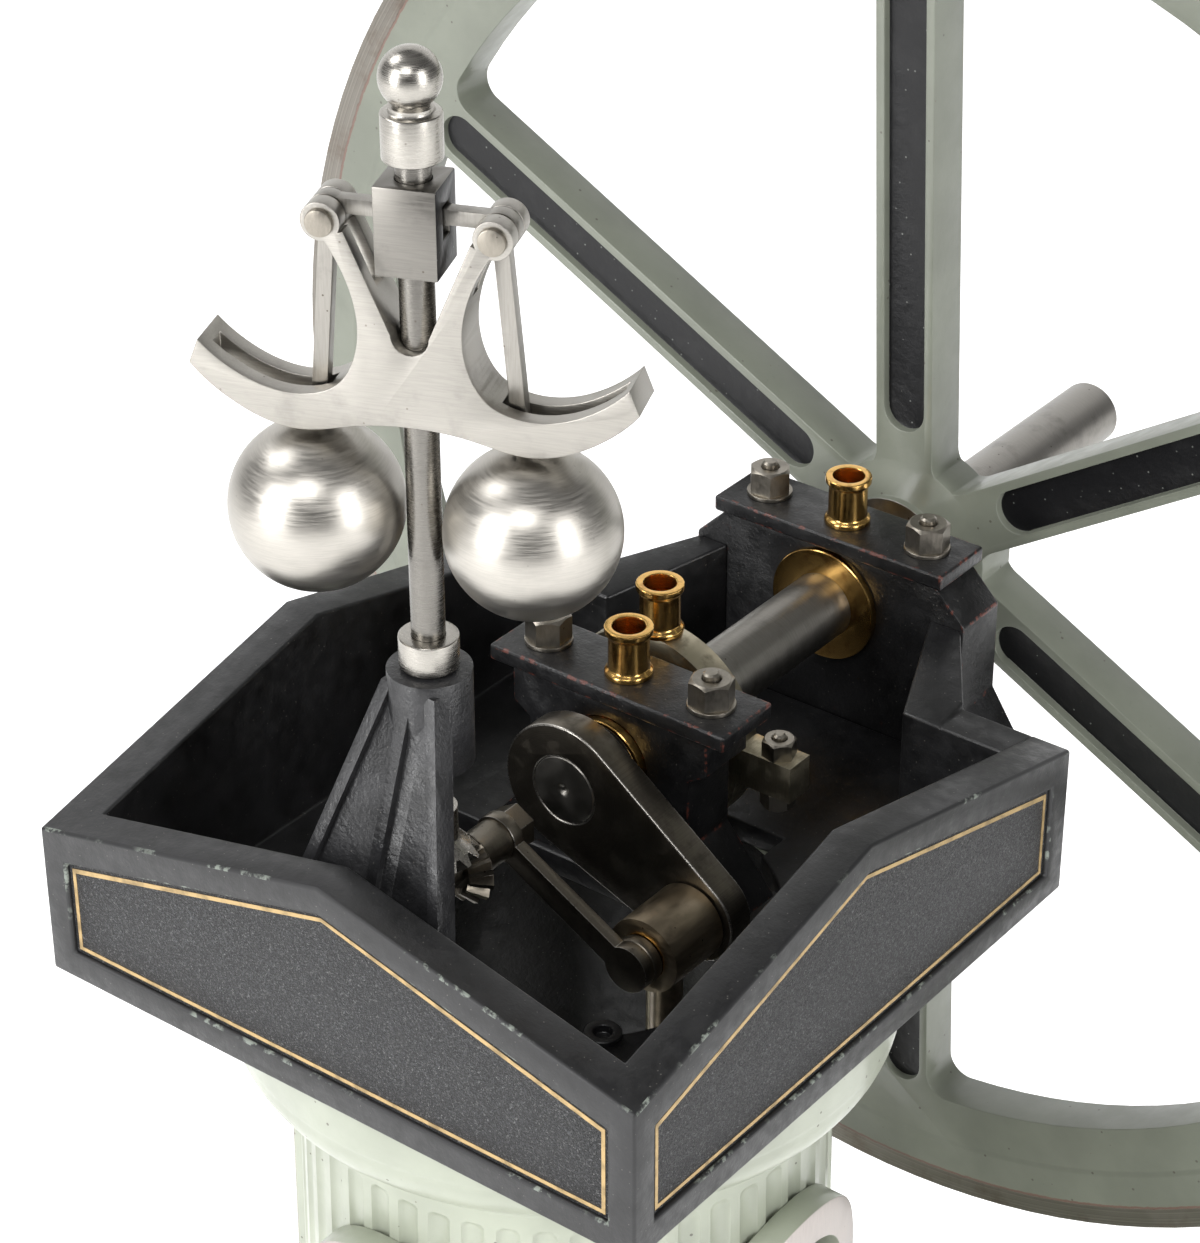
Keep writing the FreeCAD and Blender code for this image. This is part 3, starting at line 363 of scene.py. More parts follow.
def recess_black():
    """Brushed-on gloss black in the spokes, with its specks."""
    f = Finish("recess_black")
    shade = f.blotched((0.008, 0.008, 0.009), (0.024, 0.024, 0.025), 5 * MM, 0.5, 0.72, 0.35, 4)
    shade = f.specked(shade, (0.26, 0.27, 0.25), 1.9 * MM, 0.05, 0.10, 0.6)
    f.set(Base_Color=shade, Roughness=0.34, Normal=f.bump(f.noise(2.2 * MM, 3), 0.12 * MM),
          Specular_IOR_Level=0.3)
    return f.material


def gilt_line(paints):
    """Gold size line, dulled in places."""
    f = Finish("gilt_line")
    shade = f.blotched(paints.gilt, tinted(paints.gilt, 0.55), 2.5 * MM, 0.42, 0.7, 1.0, 4)
    f.set(Base_Color=shade, Metallic=0.45, Roughness=0.42,
          Normal=f.bump(f.noise(0.3 * MM, 2), 0.02 * MM))
    return f.material


def chipped_edge():
    """Pale filler showing in patches along the edge of a plate's recess."""
    f = Finish("chipped_edge")
    patches = f.ramp(f.noise(11 * MM, 2), 0.50, 0.58)
    chips = f.times(f.ramp(f.noise(1.7 * MM, 5, 0.65), 0.50, 0.62), patches)
    shade = f.mix(chips, (0.012, 0.012, 0.013), (0.20, 0.225, 0.195))
    f.set(Base_Color=shade, Roughness=0.5, Normal=f.bump(chips, 0.03 * MM))
    return f.material


# ---- metals ----
def brushed(name, base, grain, rough=0.26, anisotropy=0.5, soil=0.25, scratch=0.012, turn=0.0):
    """Metal with its tool marks drawn out along one direction."""
    f = Finish(name, grain, turn)
    marks = f.noise(1.0, 3, 0.6, f.along)
    shade = f.mix(f.ramp(marks, 0.30, 0.70), tinted(base, 0.90), tinted(base, 1.06))
    shade = f.blotched(shade, tinted(base, 0.42), 5 * MM, 0.50, 0.75, soil, 5, 0.62)
    shade = f.specked(shade, (0.07, 0.05, 0.035), 2.6 * MM, 0.04, 0.07, 1.6 * soil)
    f.set(Base_Color=shade, Metallic=1.0, Anisotropic=anisotropy,
          Roughness=f.ramp(marks, 0.3, 0.7, rough * 0.82, rough * 1.2),
          Normal=f.bump(marks, scratch * MM))
    return f.material


def ringed(name, base, x, z, rough=0.36):
    """Faced metal with the arcs a tool leaves round the line (x, z)."""
    f = Finish(name)
    arcs = f.rings(f.radius_from(x, z), 0.16 * MM)
    grime = f.ramp(f.noise(3.5 * MM, 5, 0.62), 0.42, 0.70, 0.0, 0.75)
    shade = f.mix(f.ramp(arcs, 0.35, 0.65), tinted(base, 0.88), tinted(base, 1.12))
    shade = f.mix(grime, shade, tinted(base, 0.38))
    f.set(Base_Color=shade, Metallic=1.0, Normal=f.bump(arcs, 0.022 * MM),
          Roughness=f.ramp(grime, 0.0, 0.75, rough * 0.85, rough * 1.35))
    return f.material


def cast_iron(metals):
    """Machined grey iron of the cylinder."""
    f = Finish("machined_iron")
    shade = f.blotched(tinted(metals.iron, 0.6), metals.iron, 4 * MM, 0.35, 0.7, 1.0, 5)
    f.set(Base_Color=shade, Metallic=0.85, Roughness=0.42,
          Normal=f.bump(f.noise(0.5 * MM, 3), 0.02 * MM))
    return f.material


def wheel_enamel(paints, sizes):
    """Green enamel on the wheel, its rim's edge turned bare."""
    f = Finish("wheel_enamel")
    radius = f.radius_from(0.0, SHAFT_Z)
    ragged = calculated(f.tree, "ADD", radius, f.times(f.noise(1.2 * MM, 3), 0.5 * MM))
    edge = WHEEL_RADIUS - sizes.band + 0.25 * MM
    bare = f.ramp(ragged, edge - 0.05 * MM, edge + 0.05 * MM)
    line = f.times(f.ramp(ragged, edge - 0.5 * MM, edge - 0.42 * MM, 0.0, 0.6),
                   f.ramp(ragged, edge + 0.02 * MM, edge + 0.1 * MM, 1.0, 0.0))
    shade = enamelled(f, tinted(paints.green, 0.68), 0.88, 1.05, 0.73)
    shade = f.mix(line, shade, paints.primer)
    rings = f.rings(radius, 0.3 * MM)
    metal = f.mix(f.ramp(rings, 0.35, 0.65), (0.20, 0.185, 0.16), (0.27, 0.25, 0.22))
    metal = f.blotched(metal, (0.12, 0.075, 0.05), 9 * MM, 0.48, 0.72, 0.6, 6, 0.65)
    shade = f.mix(bare, shade, metal)
    step = f.ramp(radius, WHEEL_RADIUS - 11.0 * MM, WHEEL_RADIUS - 9.6 * MM)
    surface = f.bump(f.noise(1.6 * MM, 2), 0.035 * MM)
    for height, depth in ((step, sizes.step), (bare, -0.12 * MM),
                          (f.times(rings, bare), 0.03 * MM)):
        surface = f.bump(height, depth, surface)
    f.set(Base_Color=shade, Metallic=f.times(bare, 0.9), Normal=surface,
          Roughness=f.ramp(f.noise(4 * MM, 3), 0.3, 0.7, 0.30, 0.42), Coat_Weight=0.2,
          Coat_Roughness=0.16)
    return f.material


def brass_finish(metals):
    """Turned brass, dark with oil in places."""
    f = Finish("turned_brass", (600, 600, 9000))
    marks = f.noise(1.0, 2, 0.5, f.along)
    shade = f.blotched(metals.brass, (0.32, 0.14, 0.035), 2.2 * MM, 0.50, 0.74, 0.65, 4, 0.6)
    f.set(Base_Color=shade, Metallic=1.0, Roughness=f.ramp(marks, 0.3, 0.7, 0.14, 0.24),
          Normal=f.bump(marks, 0.006 * MM))
    return f.material


MATERIALS = {}


def make_materials():
    scene = bpy.context.scene
    paints, metals = scene.engine_paint, scene.engine_metal
    steel, oily = metals.steel, metals.oily
    upright, across, even = (300, 300, 9000), (250, 6000, 6000), (2500, 2500, 2500)
    MATERIALS.update(
        green=green_enamel(paints), plate=plate_grain(paints), gilt=gilt_line(paints),
        recess=recess_black(), chipped=chipped_edge(), brass=brass_finish(metals),
        iron=cast_iron(metals), wheel=wheel_enamel(paints, scene.engine_wheel),
        black=black_casting(paints, "black_enamel", 0.0, 0.5),
        black_edge=black_casting(paints, "black_enamel_edge", 0.12, 0.5),
        black_cast=black_casting(paints, "black_enamel_casting", 0.15),
        black_worn=black_casting(paints, "black_enamel_worn_edge", 0.72),
        # the post's black is 2.2 times paler, a painted sheen for its lit faces, with a coarser
        # grain
        black_post=black_casting(paints, "black_enamel_post_painted_sheen", 0.0, 1.4, 2.2),
        # black for the inside of the column and capital: a painted shade in the hollow
        bore=black_casting(paints, "column_bore_painted_shade", 0.0),
        oily_faced=ringed("oily_steel_faced", tinted(oily, 0.85), 0.0, SHAFT_Z),
        strap=ringed("strap_steel", (0.50, 0.45, 0.33), SHEAVE.x, SHEAVE.z, 0.42))
    # key, name, colour, grain, roughness, anisotropy, soil, depth of scratch, turn
    for key, *looks in (
            ("steel_upright", "steel_turned_upright", steel, upright),
            # the spindle's steel is half as bright: a painted shade on the spindle
            ("spindle", "steel_spindle", tinted(steel, 0.50), upright),
            ("steel_shaft", "steel_turned_shaft", tinted(steel, 0.72), (300, 7000, 300),
             0.36, 0.3, 0.5),
            ("steel_flat", "steel_brushed_flat", tinted(steel, 0.95), across,
             0.36, 0.3, 0.3, 0.012, -GOVERNOR_ANGLE),
            ("block", "steel_block", tinted(steel, 0.54), across,
             0.38, 0.2, 0.4, 0.012, -GOVERNOR_ANGLE),
            ("steel_lever", "steel_levers", tinted(steel, 0.8), (4000, 4000, 250),
             0.34, 0.5, 0.5),
            ("steel_frame", "steel_window_frames", (0.50, 0.46, 0.435), (5000, 5000, 300),
             0.42, 0.0, 0.15, 0.008),
            ("steel_edge", "steel_worn_edge", tinted(steel, 0.85), even, 0.3, 0.0, 0.4),
            ("steel_ball", "steel_balls", tinted(steel, 1.15), (300, 300, 7000),
             0.34, 0.45, 0.12, 0.010),
            ("gear_bright", "gear_steel", tinted(steel, 0.95), even, 0.3, 0.0, 0.35),
            ("oily", "oily_steel", oily, (3000, 3000, 3000), 0.34, 0.2, 0.7),
            ("nut", "nut_steel", metals.nut, (2500, 2500, 800), 0.36, 0.1, 0.6),
            ("rod", "rod_steel", (0.33, 0.27, 0.19), (300, 300, 3000), 0.38, 0.1, 0.6)):
        MATERIALS[key] = brushed(*looks)


def shown(name, data):
    """A new object in the scene."""
    made = bpy.data.objects.new(name, data)
    bpy.context.scene.collection.objects.link(made)
    return made


def mesh_of(bm, name):
    """The bmesh as a mesh of this name."""
    mesh = bpy.data.meshes.new(name)
    bm.to_mesh(mesh)
    bm.free()
    return mesh


def eased(profile, radius, steps=3):
    """Rounds the corners of a (radius, height) profile."""
    out = [profile[0]]
    for before, corner, after in zip(profile, profile[1:], profile[2:]):
        a, b, c = Vector(before), Vector(corner), Vector(after)
        reach = min(radius, (a - b).length * 0.45, (c - b).length * 0.45)
        if reach < 1e-6 or (b - a).angle(c - b, 0) < 0.3:
            out.append(corner)
            continue
        start, end = b + (a - b).normalized() * reach, b + (c - b).normalized() * reach
        for k in range(steps + 1):
            t = k / steps
            out.append(tuple(start * (1 - t) ** 2 + b * 2 * t * (1 - t) + end * t * t))
    return out + [profile[-1]]


def lathe(bm, profile, centre, along=UP, segments=72, closed=False):
    """Turns (radius, height) points in metres about a line through centre."""
    side = Vector((1, 0, 0))
    other = along.cross(side).normalized()
    side = other.cross(along)
    rings = []
    for radius, height in profile:
        if radius < 1e-7:
            rings.append([bm.verts.new(centre + along * height)])
            continue
        rings.append([bm.verts.new(centre + along * height
                                   + (side * math.cos(a) + other * math.sin(a)) * radius)
                      for a in (math.tau * k / segments for k in range(segments))])
    pairs = list(zip(rings, rings[1:])) + ([(rings[-1], rings[0])] if closed else [])
    for low, high in pairs:
        for k in range(segments):
            n = (k + 1) % segments
            ring = [low[k % len(low)], low[n % len(low)], high[n % len(high)], high[k % len(high)]]
            corners = list(dict.fromkeys(ring))
            if len(corners) > 2:
                bm.faces.new(corners)


def plate(bm, outline, y0, y1):
    """Flat piece from an (x, z) outline between two places along Y."""
    front = [bm.verts.new((x, y0, z)) for x, z in outline]
    back = [bm.verts.new((x, y1, z)) for x, z in outline]
    bm.faces.new(front)
    bm.faces.new(back[::-1])
    for k in range(len(outline)):
        n = (k + 1) % len(outline)
        bm.faces.new((front[k], back[k], back[n], front[n]))


def swing(bm, start, degrees):
    """Turns the points made since start about the column's axis."""
    bm.verts.ensure_lookup_table()
    bmesh.ops.rotate(bm, cent=(0, 0, 0), verts=bm.verts[start:],
                     matrix=Matrix.Rotation(math.radians(degrees), 3, "Z"))


def bevel_edges(bm, radius, material=-1, segments=2, wanted=None):
    """Rounds every sharp edge."""
    sharp = [e for e in bm.edges if len(e.link_faces) == 2
             and e.calc_face_angle(0) > SHARP and (not wanted or wanted(e))]
    bmesh.ops.bevel(bm, geom=sharp, offset=radius, offset_type="OFFSET", segments=segments,
                    profile=0.5, affect="EDGES", clamp_overlap=True, material=material)


def smooth(bm, crisp=CRISP):
    """Smooth faces, with edges above this angle left crisp."""
    for face in bm.faces:
        face.smooth = True
    for edge in bm.edges:
        edge.smooth = len(edge.link_faces) == 2 and edge.calc_face_angle(0) < crisp


def piece(name, source, node, materials, in_place=True, outward=True):
    """Makes the mesh an object that rides with the node, often in its place."""
    mesh = source
    if isinstance(source, bmesh.types.BMesh):
        if outward:
            bmesh.ops.remove_doubles(source, verts=source.verts, dist=0.0005 * MM)
            bmesh.ops.recalc_face_normals(source, faces=source.faces)
        smooth(source)
        mesh = mesh_of(source, name)
    if not mesh.polygons:
        raise RuntimeError(name + " has no faces")
    mesh.name = name
    if not mesh.materials:
        for key in materials:
            mesh.materials.append(MATERIALS[key])
    made = shown(name, mesh)
    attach(made, frame["nodes"][node]["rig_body"])
    if in_place:
        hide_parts(node)


def turned(name, node, finish, profile, centres, along=UP, segments=72, rounding=0.0,
           closed=False, in_place=True):
    """A piece turned from one profile about each centre."""
    bm = bmesh.new()
    for centre in centres:
        lathe(bm, eased(profile, rounding * MM), centre, along, segments, closed)
    piece(name, bm, node, [finish], in_place)


def node_copy(node):
    """The node's mesh, merged, its flat faces made whole."""
    bm = bmesh.new()
    bm.from_mesh(frame["nodes"][node].data)
    bmesh.ops.remove_doubles(bm, verts=bm.verts, dist=0.002 * MM)
    bmesh.ops.dissolve_limit(bm, angle_limit=FLAT, verts=bm.verts, edges=bm.edges)
    for face in bm.faces:
        face.material_index = 0
    return bm


def softened(node, edge, face, rim=None, segments=2, paint=None):
    """A copy of a node with rounded edges, in its own finish."""
    bm = node_copy(node)
    bevel_edges(bm, edge * MM, 1 if rim else -1, segments)
    if paint:
        paint(bm)
    piece(node + "_finished", bm, node, [face, rim] if rim else [face], outward=False)


def cut_away(mesh, cutter):
    """The mesh less the cutter's solids."""
    whole, tool = shown("whole", mesh), shown("tool", cutter)
    cut = whole.modifiers.new("cut", "BOOLEAN")
    cut.operation, cut.solver, cut.object = "DIFFERENCE", "EXACT", tool
    result = evaluated(whole)
    for made in (whole, tool):
        bpy.data.objects.remove(made)
    return result


def evaluated(made):
    graph = bpy.context.evaluated_depsgraph_get()
    graph.update()
    return bpy.data.meshes.new_from_object(made.evaluated_get(graph))


# ---- geometry nodes ----
class Tree:
    """A geometry node tree with named inputs."""

    def __init__(self, name, sizes):
        self.tree = bpy.data.node_groups.new(name, "GeometryNodeTree")
        face = self.tree.interface
        face.new_socket("Geometry", in_out="INPUT", socket_type="NodeSocketGeometry")
        face.new_socket("Geometry", in_out="OUTPUT", socket_type="NodeSocketGeometry")
        kinds = {float: "NodeSocketFloat", int: "NodeSocketInt",
                 bpy.types.Object: "NodeSocketObject"}
        for key, value in sizes.items():
            kind = next(k for k in kinds if isinstance(value, k))
            face.new_socket(key, in_out="INPUT", socket_type=kinds[kind])
        self.sizes = sizes
        self.given = add(self.tree, "NodeGroupInput").outputs

    def finish(self, geometry, material):
        real = add(self.tree, "GeometryNodeRealizeInstances", {"Geometry": geometry})
        painted = add(self.tree, "GeometryNodeSetMaterial",
                      {"Geometry": real.outputs[0], "Material": material})
        out = add(self.tree, "NodeGroupOutput")
        self.tree.links.new(painted.outputs[0], out.inputs[0])

    def run(self, mesh):
        """The mesh that the tree makes from this one."""
        made = shown("made", mesh)
        nodes = made.modifiers.new("nodes", "NODES")
        nodes.node_group = self.tree
        for item in self.tree.interface.items_tree:
            if item.in_out == "INPUT" and item.name in self.sizes:
                nodes[item.identifier] = self.sizes[item.name]
        result = evaluated(made)
        bpy.data.objects.remove(made)
        return result


def repeated(name, places, shape, material):
    """One copy of a small mesh at each (place, rotation)."""
    template = shown(name + "_one", shape)
    tree = Tree(name, {"Piece": template, "Scale": 1.0})
    turn = add(tree.tree, "GeometryNodeInputNamedAttribute", {"Name": "turn"},
               data_type="FLOAT_VECTOR")
    copied = add(tree.tree, "GeometryNodeObjectInfo", {"Object": tree.given["Piece"]})
    placed = add(tree.tree, "GeometryNodeInstanceOnPoints",
                 {"Points": tree.given["Geometry"], "Instance": copied.outputs["Geometry"],
                  "Rotation": turn.outputs[0], "Scale": tree.given["Scale"]})
    tree.finish(placed.outputs[0], material)
    points = bpy.data.meshes.new(name)
    points.from_pydata([place for place, rotation in places], [], [])
    turns = points.attributes.new("turn", "FLOAT_VECTOR", "POINT")
    for k, (place, rotation) in enumerate(places):
        turns.data[k].vector = rotation
    result = tree.run(points)
    bpy.data.objects.remove(template)
    return result


# ---- foot, plinth and column ----
def fluted_shaft(sizes):
    """The column's shaft with its flutes and four windows."""
    low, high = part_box("column")
    foot, neck = high.x, high.x - COLUMN_TAPER
    bore = neck - COLUMN_WALL
    top_end, low_end = high.z - sizes.flute_top, low.z + sizes.flute_foot
    rows = [low.z, low.z + 2 * MM, high.z]
    for start, sign in ((low_end, 1), (top_end, -1)):
        rows += [start + sign * FLUTE_REACH * share for share in
                 (-0.5, 0, 0.08, 0.2, 0.4, 0.6, 0.8, 1.0, 1.3)]
    rows += [low_end + (top_end - low_end) * k / 14 for k in range(1, 14)]
    profile = [(foot + (neck - foot) * (z - low.z) / (high.z - low.z), z) for z in sorted(rows)]
    profile += [(bore, high.z), (bore, low.z)]
    bm = bmesh.new()
    lathe(bm, profile, Vector(), UP, sizes.flutes * 12, closed=True)
    bmesh.ops.recalc_face_normals(bm, faces=bm.faces)
    made = Tree("flutes", {"Flutes": sizes.flutes, "Depth": float(sizes.flute_depth),
                           "Top": top_end, "Foot": low_end, "Half width": FLUTE_REACH})
    tree, given = made.tree, made.given

    def calc(*values):
        return calculated(tree, *values)

    place = add(tree, "GeometryNodeInputPosition").outputs[0]
    x, y, z = add(tree, "ShaderNodeSeparateXYZ", {0: place}).outputs
    flat = add(tree, "ShaderNodeCombineXYZ", {0: x, 1: y}).outputs[0]
    radius = vector_made(tree, "LENGTH", flat)
    share = calc("DIVIDE", calc("ARCTAN2", y, x), math.tau)
    share = calc("MULTIPLY", share, given["Flutes"])
    across = calc("SUBTRACT", calc("FRACT", share), 0.5)
    pitch = calc("DIVIDE", calc("MULTIPLY", radius, math.tau), given["Flutes"])
    across = calc("MULTIPLY", across, pitch)
    width = given["Half width"]
    over = calc("SUBTRACT", z, calc("SUBTRACT", given["Top"], width))
    under = calc("SUBTRACT", calc("ADD", given["Foot"], width), z)
    beyond = calc("MAXIMUM", calc("MAXIMUM", over, under), 0.0)
    square = calc("ADD", calc("MULTIPLY", across, across), calc("MULTIPLY", beyond, beyond))
    square = calc("DIVIDE", square, calc("MULTIPLY", width, width))
    depth = calc("MAXIMUM", calc("SUBTRACT", 1.0, square), 0.0)
    depth = calc("MULTIPLY", calc("SQRT", depth), given["Depth"])
    outside = calc("GREATER_THAN", radius, bore + 2 * MM)
    depth = calc("MULTIPLY", depth, calc("MULTIPLY", outside, -1.0))
    move = add(tree, "ShaderNodeVectorMath",
               {0: vector_made(tree, "NORMALIZE", flat), "Scale": depth}, operation="SCALE")
    moved = add(tree, "GeometryNodeSetPosition",
                {"Geometry": given["Geometry"], "Offset": move.outputs[0]})
    made.finish(moved.outputs[0], MATERIALS["green"])
    return cut_away(made.run(mesh_of(bm, "shaft")), window_cutter(sizes))


def window_cutter(sizes):
    """Four arched bars through the shaft, one on each side."""
    low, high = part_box("window_frames")
    width = sizes.window / 2
    bottom, top = low.z + sizes.border, high.z - sizes.border
    outline = []
    for end, sign in ((top - width, 1), (bottom + width, -1)):
        outline += [(sign * width * math.sin(a), end + sign * width * math.cos(a))
                    for a in (math.pi * (k / 12 - 0.5) for k in range(13))]
    bm = bmesh.new()
    for turn in (0, 90, 180, 270):
        count = len(bm.verts)
        plate(bm, outline, -60 * MM, -20 * MM)
        swing(bm, count, turn)
    bmesh.ops.recalc_face_normals(bm, faces=bm.faces)
    return mesh_of(bm, "cutter")


def capital_profile(sizes):
    """Neck, fillet, bowl and flat of the capital, from the bore outwards."""
    low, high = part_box("capital")
    neck, reach = CAPITAL_NECK, high.x
    bowl_low = low.z + sizes.moulding
    bowl_high = bowl_low + sizes.bowl
    ring = [(neck + out * MM, low.z + rise * MM) for out, rise in
            ((-0.5, 0), (0.4, 0.6), (0.7, 1.5), (0.4, 2.4), (-0.3, 2.9), (-0.3, 3.6))]
    bowl = [(neck + 0.9 * MM + (reach - neck - 1.2 * MM) * math.sin(a),
             bowl_low + sizes.bowl * (1 - math.cos(a)))
            for a in (math.pi / 2 * k / 18 for k in range(19))]
    return [(CAPITAL_BORE, low.z)] + ring + bowl + [
        (reach - 0.2 * MM, bowl_high + 0.4 * MM), (reach, bowl_high + 1.0 * MM),
        (reach, high.z), (CAPITAL_BORE, high.z)]


def facing_out(face):
    """1 where a face looks away from the column's axis, -1 where it looks at it."""
    spot = face.calc_center_median()
    return (face.normal.x * spot.x + face.normal.y * spot.y) / max(1e-9, spot.xy.length)


def bare_faces(bm):
    """Only the frames' outer faces are bare metal."""
    for face in bm.faces:
        face.material_index = int(facing_out(face) > 0.5)


def paint_bore_shade(bm):
    """The second finish, black as a painted shade, on the faces that look at the column's axis."""
    bmesh.ops.recalc_face_normals(bm, faces=bm.faces)
    for face in bm.faces:
        if facing_out(face) < -0.9:
            face.material_index = 1


class ENGINE_OT_column(bpy.types.Operator):
    """Finishes the base, plinth, column and capital"""
    bl_idname = "engine.column"
    bl_label = "Foot and column"

    def execute(self, context):
        sizes = context.scene.engine_column
        softened("base_plate", 1.2, "green", segments=3)
        softened("plinth", 0.9, "green", segments=3)
        softened("column_foot", 0.6, "green")
        softened("window_frames", 0.45, "green", "steel_frame", paint=bare_faces)
        shaft, capital = bmesh.new(), bmesh.new()
        shaft.from_mesh(fluted_shaft(sizes))
        lathe(capital, capital_profile(sizes), Vector(), UP, 192, closed=True)
        for name, node, bm in (("fluted_column", "column", shaft),
                               ("capital_moulded", "capital", capital)):
            # the faces that look into the bore get black as a painted shade inside the hollow
            # column
            paint_bore_shade(bm)
            piece(name, bm, node, ["green", "bore"])
        return {"FINISHED"}


# ---- tray ----
def pediment(inset):
    """Outline of a side plate, moved in by inset."""
    edge = PLATE_FRAME + inset
    reach, low = TRAY_HALF - edge, TRAY_BASE + edge
    corner, peak = TRAY_BASE + WALL_CORNER - edge, TRAY_BASE + WALL_PEAK - edge
    return [(-reach, low), (reach, low), (reach, corner), (0, peak), (-reach, corner)]


def border_lines(sizes):
    """Gilt line round the three side plates."""
    bm = bmesh.new()
    face = -TRAY_HALF + PLATE_SUNK
    outer, inner = pediment(sizes.line_inset), pediment(sizes.line_inset + sizes.line)
    for turn in (0, 90, 270):
        start = len(bm.verts)
        for k in range(5):
            n = (k + 1) % 5
            plate(bm, [outer[k], outer[n], inner[n], inner[k]], face - 0.07 * MM,
                  face + 0.1 * MM)
        swing(bm, start, turn)
    return bm


def recess_edges(bm):
    """Pale chips on the edges round the plates' recesses."""
    for face in bm.faces:
        spot = face.calc_center_median()
        x, y = abs(spot.x), spot.y
        out = max(x, -y)
        across = min(x, abs(y)) if x > -y else x
        rounded = face.material_index == 1 and out > TRAY_HALF - 1.45 * MM
        level = TRAY_BASE + 3 * MM < spot.z < TRAY_BASE + WALL_PEAK - 3.2 * MM
        if rounded and level and across < TRAY_HALF - 3.2 * MM:
            face.material_index = 2


class ENGINE_OT_tray(bpy.types.Operator):
    """Finishes the tray, its side plates and the screw in its floor"""
    bl_idname = "engine.tray"
    bl_label = "Tray and plates"

    def execute(self, context):
        sizes = context.scene.engine_detail
        bm = node_copy("tray")
        bevel_edges(bm, sizes.casting_edge, 1, segments=3)
        recess_edges(bm)
        piece("tray_finished", bm, "tray", ["black", "black_edge", "chipped"], outward=False)
        softened("side_plates", 0.2, "plate")
        piece("plate_borders", border_lines(sizes), "side_plates", ["gilt"], in_place=False)
        head = [(radius * MM, height * MM) for radius, height in
                ((0, -1), (2.7, -1), (2.7, 0.9), (1.35, 0.9), (1.35, -0.4), (0, -0.4))]
        turned("floor_screw", "tray", "black", head, [FLOOR_SCREW], segments=36, rounding=0.3,
               in_place=False)
        return {"FINISHED"}


# ---- bearings ----
def hexagon_nut(flats, height, bore, stud, stand):
    """A chamfered nut on the end of its stud, standing on Z = 0."""
    bm = bmesh.new()
    count = 60
    crown = flats / 2 * 0.93

    def hexagon(a):
        return flats / 2 / math.cos((a + math.pi / 6) % (math.pi / 3) - math.pi / 6)

    def chamfered(r):
        return height - max(0.0, r - crown) * 0.62 - 0.05 * MM

    rings = []
    for radius, level in (
            (lambda a: bore, lambda r: 0.0),
            (lambda a: hexagon(a) - 0.04 * MM, lambda r: 0.0),
            (hexagon, lambda r: 0.06 * MM),
            (hexagon, chamfered),
            (lambda a: min(hexagon(a), crown), lambda r: height),
            (lambda a: bore + 0.25 * MM, lambda r: height),
            (lambda a: bore, lambda r: height - 0.25 * MM)):
        ring = []
        for k in range(count):
            a = math.tau * k / count
            r = radius(a)
            ring.append(bm.verts.new((r * math.cos(a), r * math.sin(a), level(r))))
        rings.append(ring)
    for low, high in zip(rings, rings[1:] + rings[:1]):
        for k in range(count):
            n = (k + 1) % count
            bm.faces.new((low[k], low[n], high[n], high[k]))
    top = height + stand
    lathe(bm, [(0, 0.1 * MM), (stud, 0.1 * MM), (stud, top - 0.3 * MM),
               (stud - 0.35 * MM, top), (0, top + 0.05 * MM)], Vector(), UP, 36)
    bmesh.ops.recalc_face_normals(bm, faces=bm.faces)
    smooth(bm, math.radians(25))
    return mesh_of(bm, "nut")


def cup_profile():
    """An oil cup with its lips and hollow."""
    low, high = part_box("cap_oil_cups")
    height, rim = high.z - low.z, high.x
    waist, hollow = rim - 0.55 * MM, rim - 1.15 * MM
    return [(0, 0), (rim, 0), (rim, 0.75 * MM), (waist, 1.25 * MM), (waist, height - 1.5 * MM),
            (rim - 0.1 * MM, height - 1.1 * MM), (rim, height - 0.9 * MM),
            (rim, height), (hollow, height), (hollow, 1.6 * MM), (0, 1.2 * MM)]


class ENGINE_OT_bearings(bpy.types.Operator):
    """Finishes the pedestals, caps, bushes, nuts and oil cups"""
    bl_idname = "engine.bearings"
    bl_label = "Bearings"

    def execute(self, context):
        for node in ("near_pedestal", "rear_pedestal"):
            softened(node, 0.7, "black_cast", "black_worn")
        softened("bearing_caps", 0.45, "black_cast", "black_worn", segments=3)
        low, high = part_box("bearing_caps")
        fronts = (low.y, high.y - CAP_LENGTH)
        bush_low, bush_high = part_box("bearing_bushes")
        lip = (bush_high.x - bush_low.x) / 2
        wall, bore = SHAFT_RADIUS + 1.5 * MM, SHAFT_RADIUS + 0.05 * MM
        bm = bmesh.new()
        for front, face in zip(fronts, (wall, lip)):
            profile = [(bore, -0.4 * MM), (face, -0.4 * MM), (face, 1.0 * MM), (wall, 1.0 * MM),
                       (wall, 11 * MM), (lip, 11 * MM), (lip, 12.4 * MM), (bore, 12.4 * MM)]
            lathe(bm, eased(profile, 0.35 * MM), Vector((0, front, SHAFT_Z)), ALONG, 96,
                  closed=True)
        piece("bushes_turned", bm, "bearing_bushes", ["brass"])
        nut = hexagon_nut(context.scene.engine_detail.nut_flats, 4.0 * MM, 1.3 * MM, 1.25 * MM,
                          1.0 * MM)
        spots = [Vector((side * STUD_REACH, front + CAP_LENGTH / 2, high.z))
                 for front in fronts for side in (-1, 1)]
        places = [(spot + UP * WASHER, (0, 0, turn))
                  for spot, turn in zip(spots, (0.10, 0.35, 0.62, 0.22))]
        mesh = repeated("stud_nuts", places, nut, MATERIALS["nut"])
        piece("stud_nuts", mesh, "cap_nuts", ["nut"])
        washer = [(1.35 * MM, 0), (3.6 * MM, 0), (3.6 * MM, WASHER), (1.35 * MM, WASHER)]
        turned("washers", "cap_nuts", "nut", washer, spots, segments=48, rounding=0.18,
               closed=True, in_place=False)
        seats = [Vector((0, front + CAP_LENGTH / 2, high.z)) for front in fronts]
        turned("cap_cups_turned", "cap_oil_cups", "brass", cup_profile(), seats, rounding=0.22)
        return {"FINISHED"}


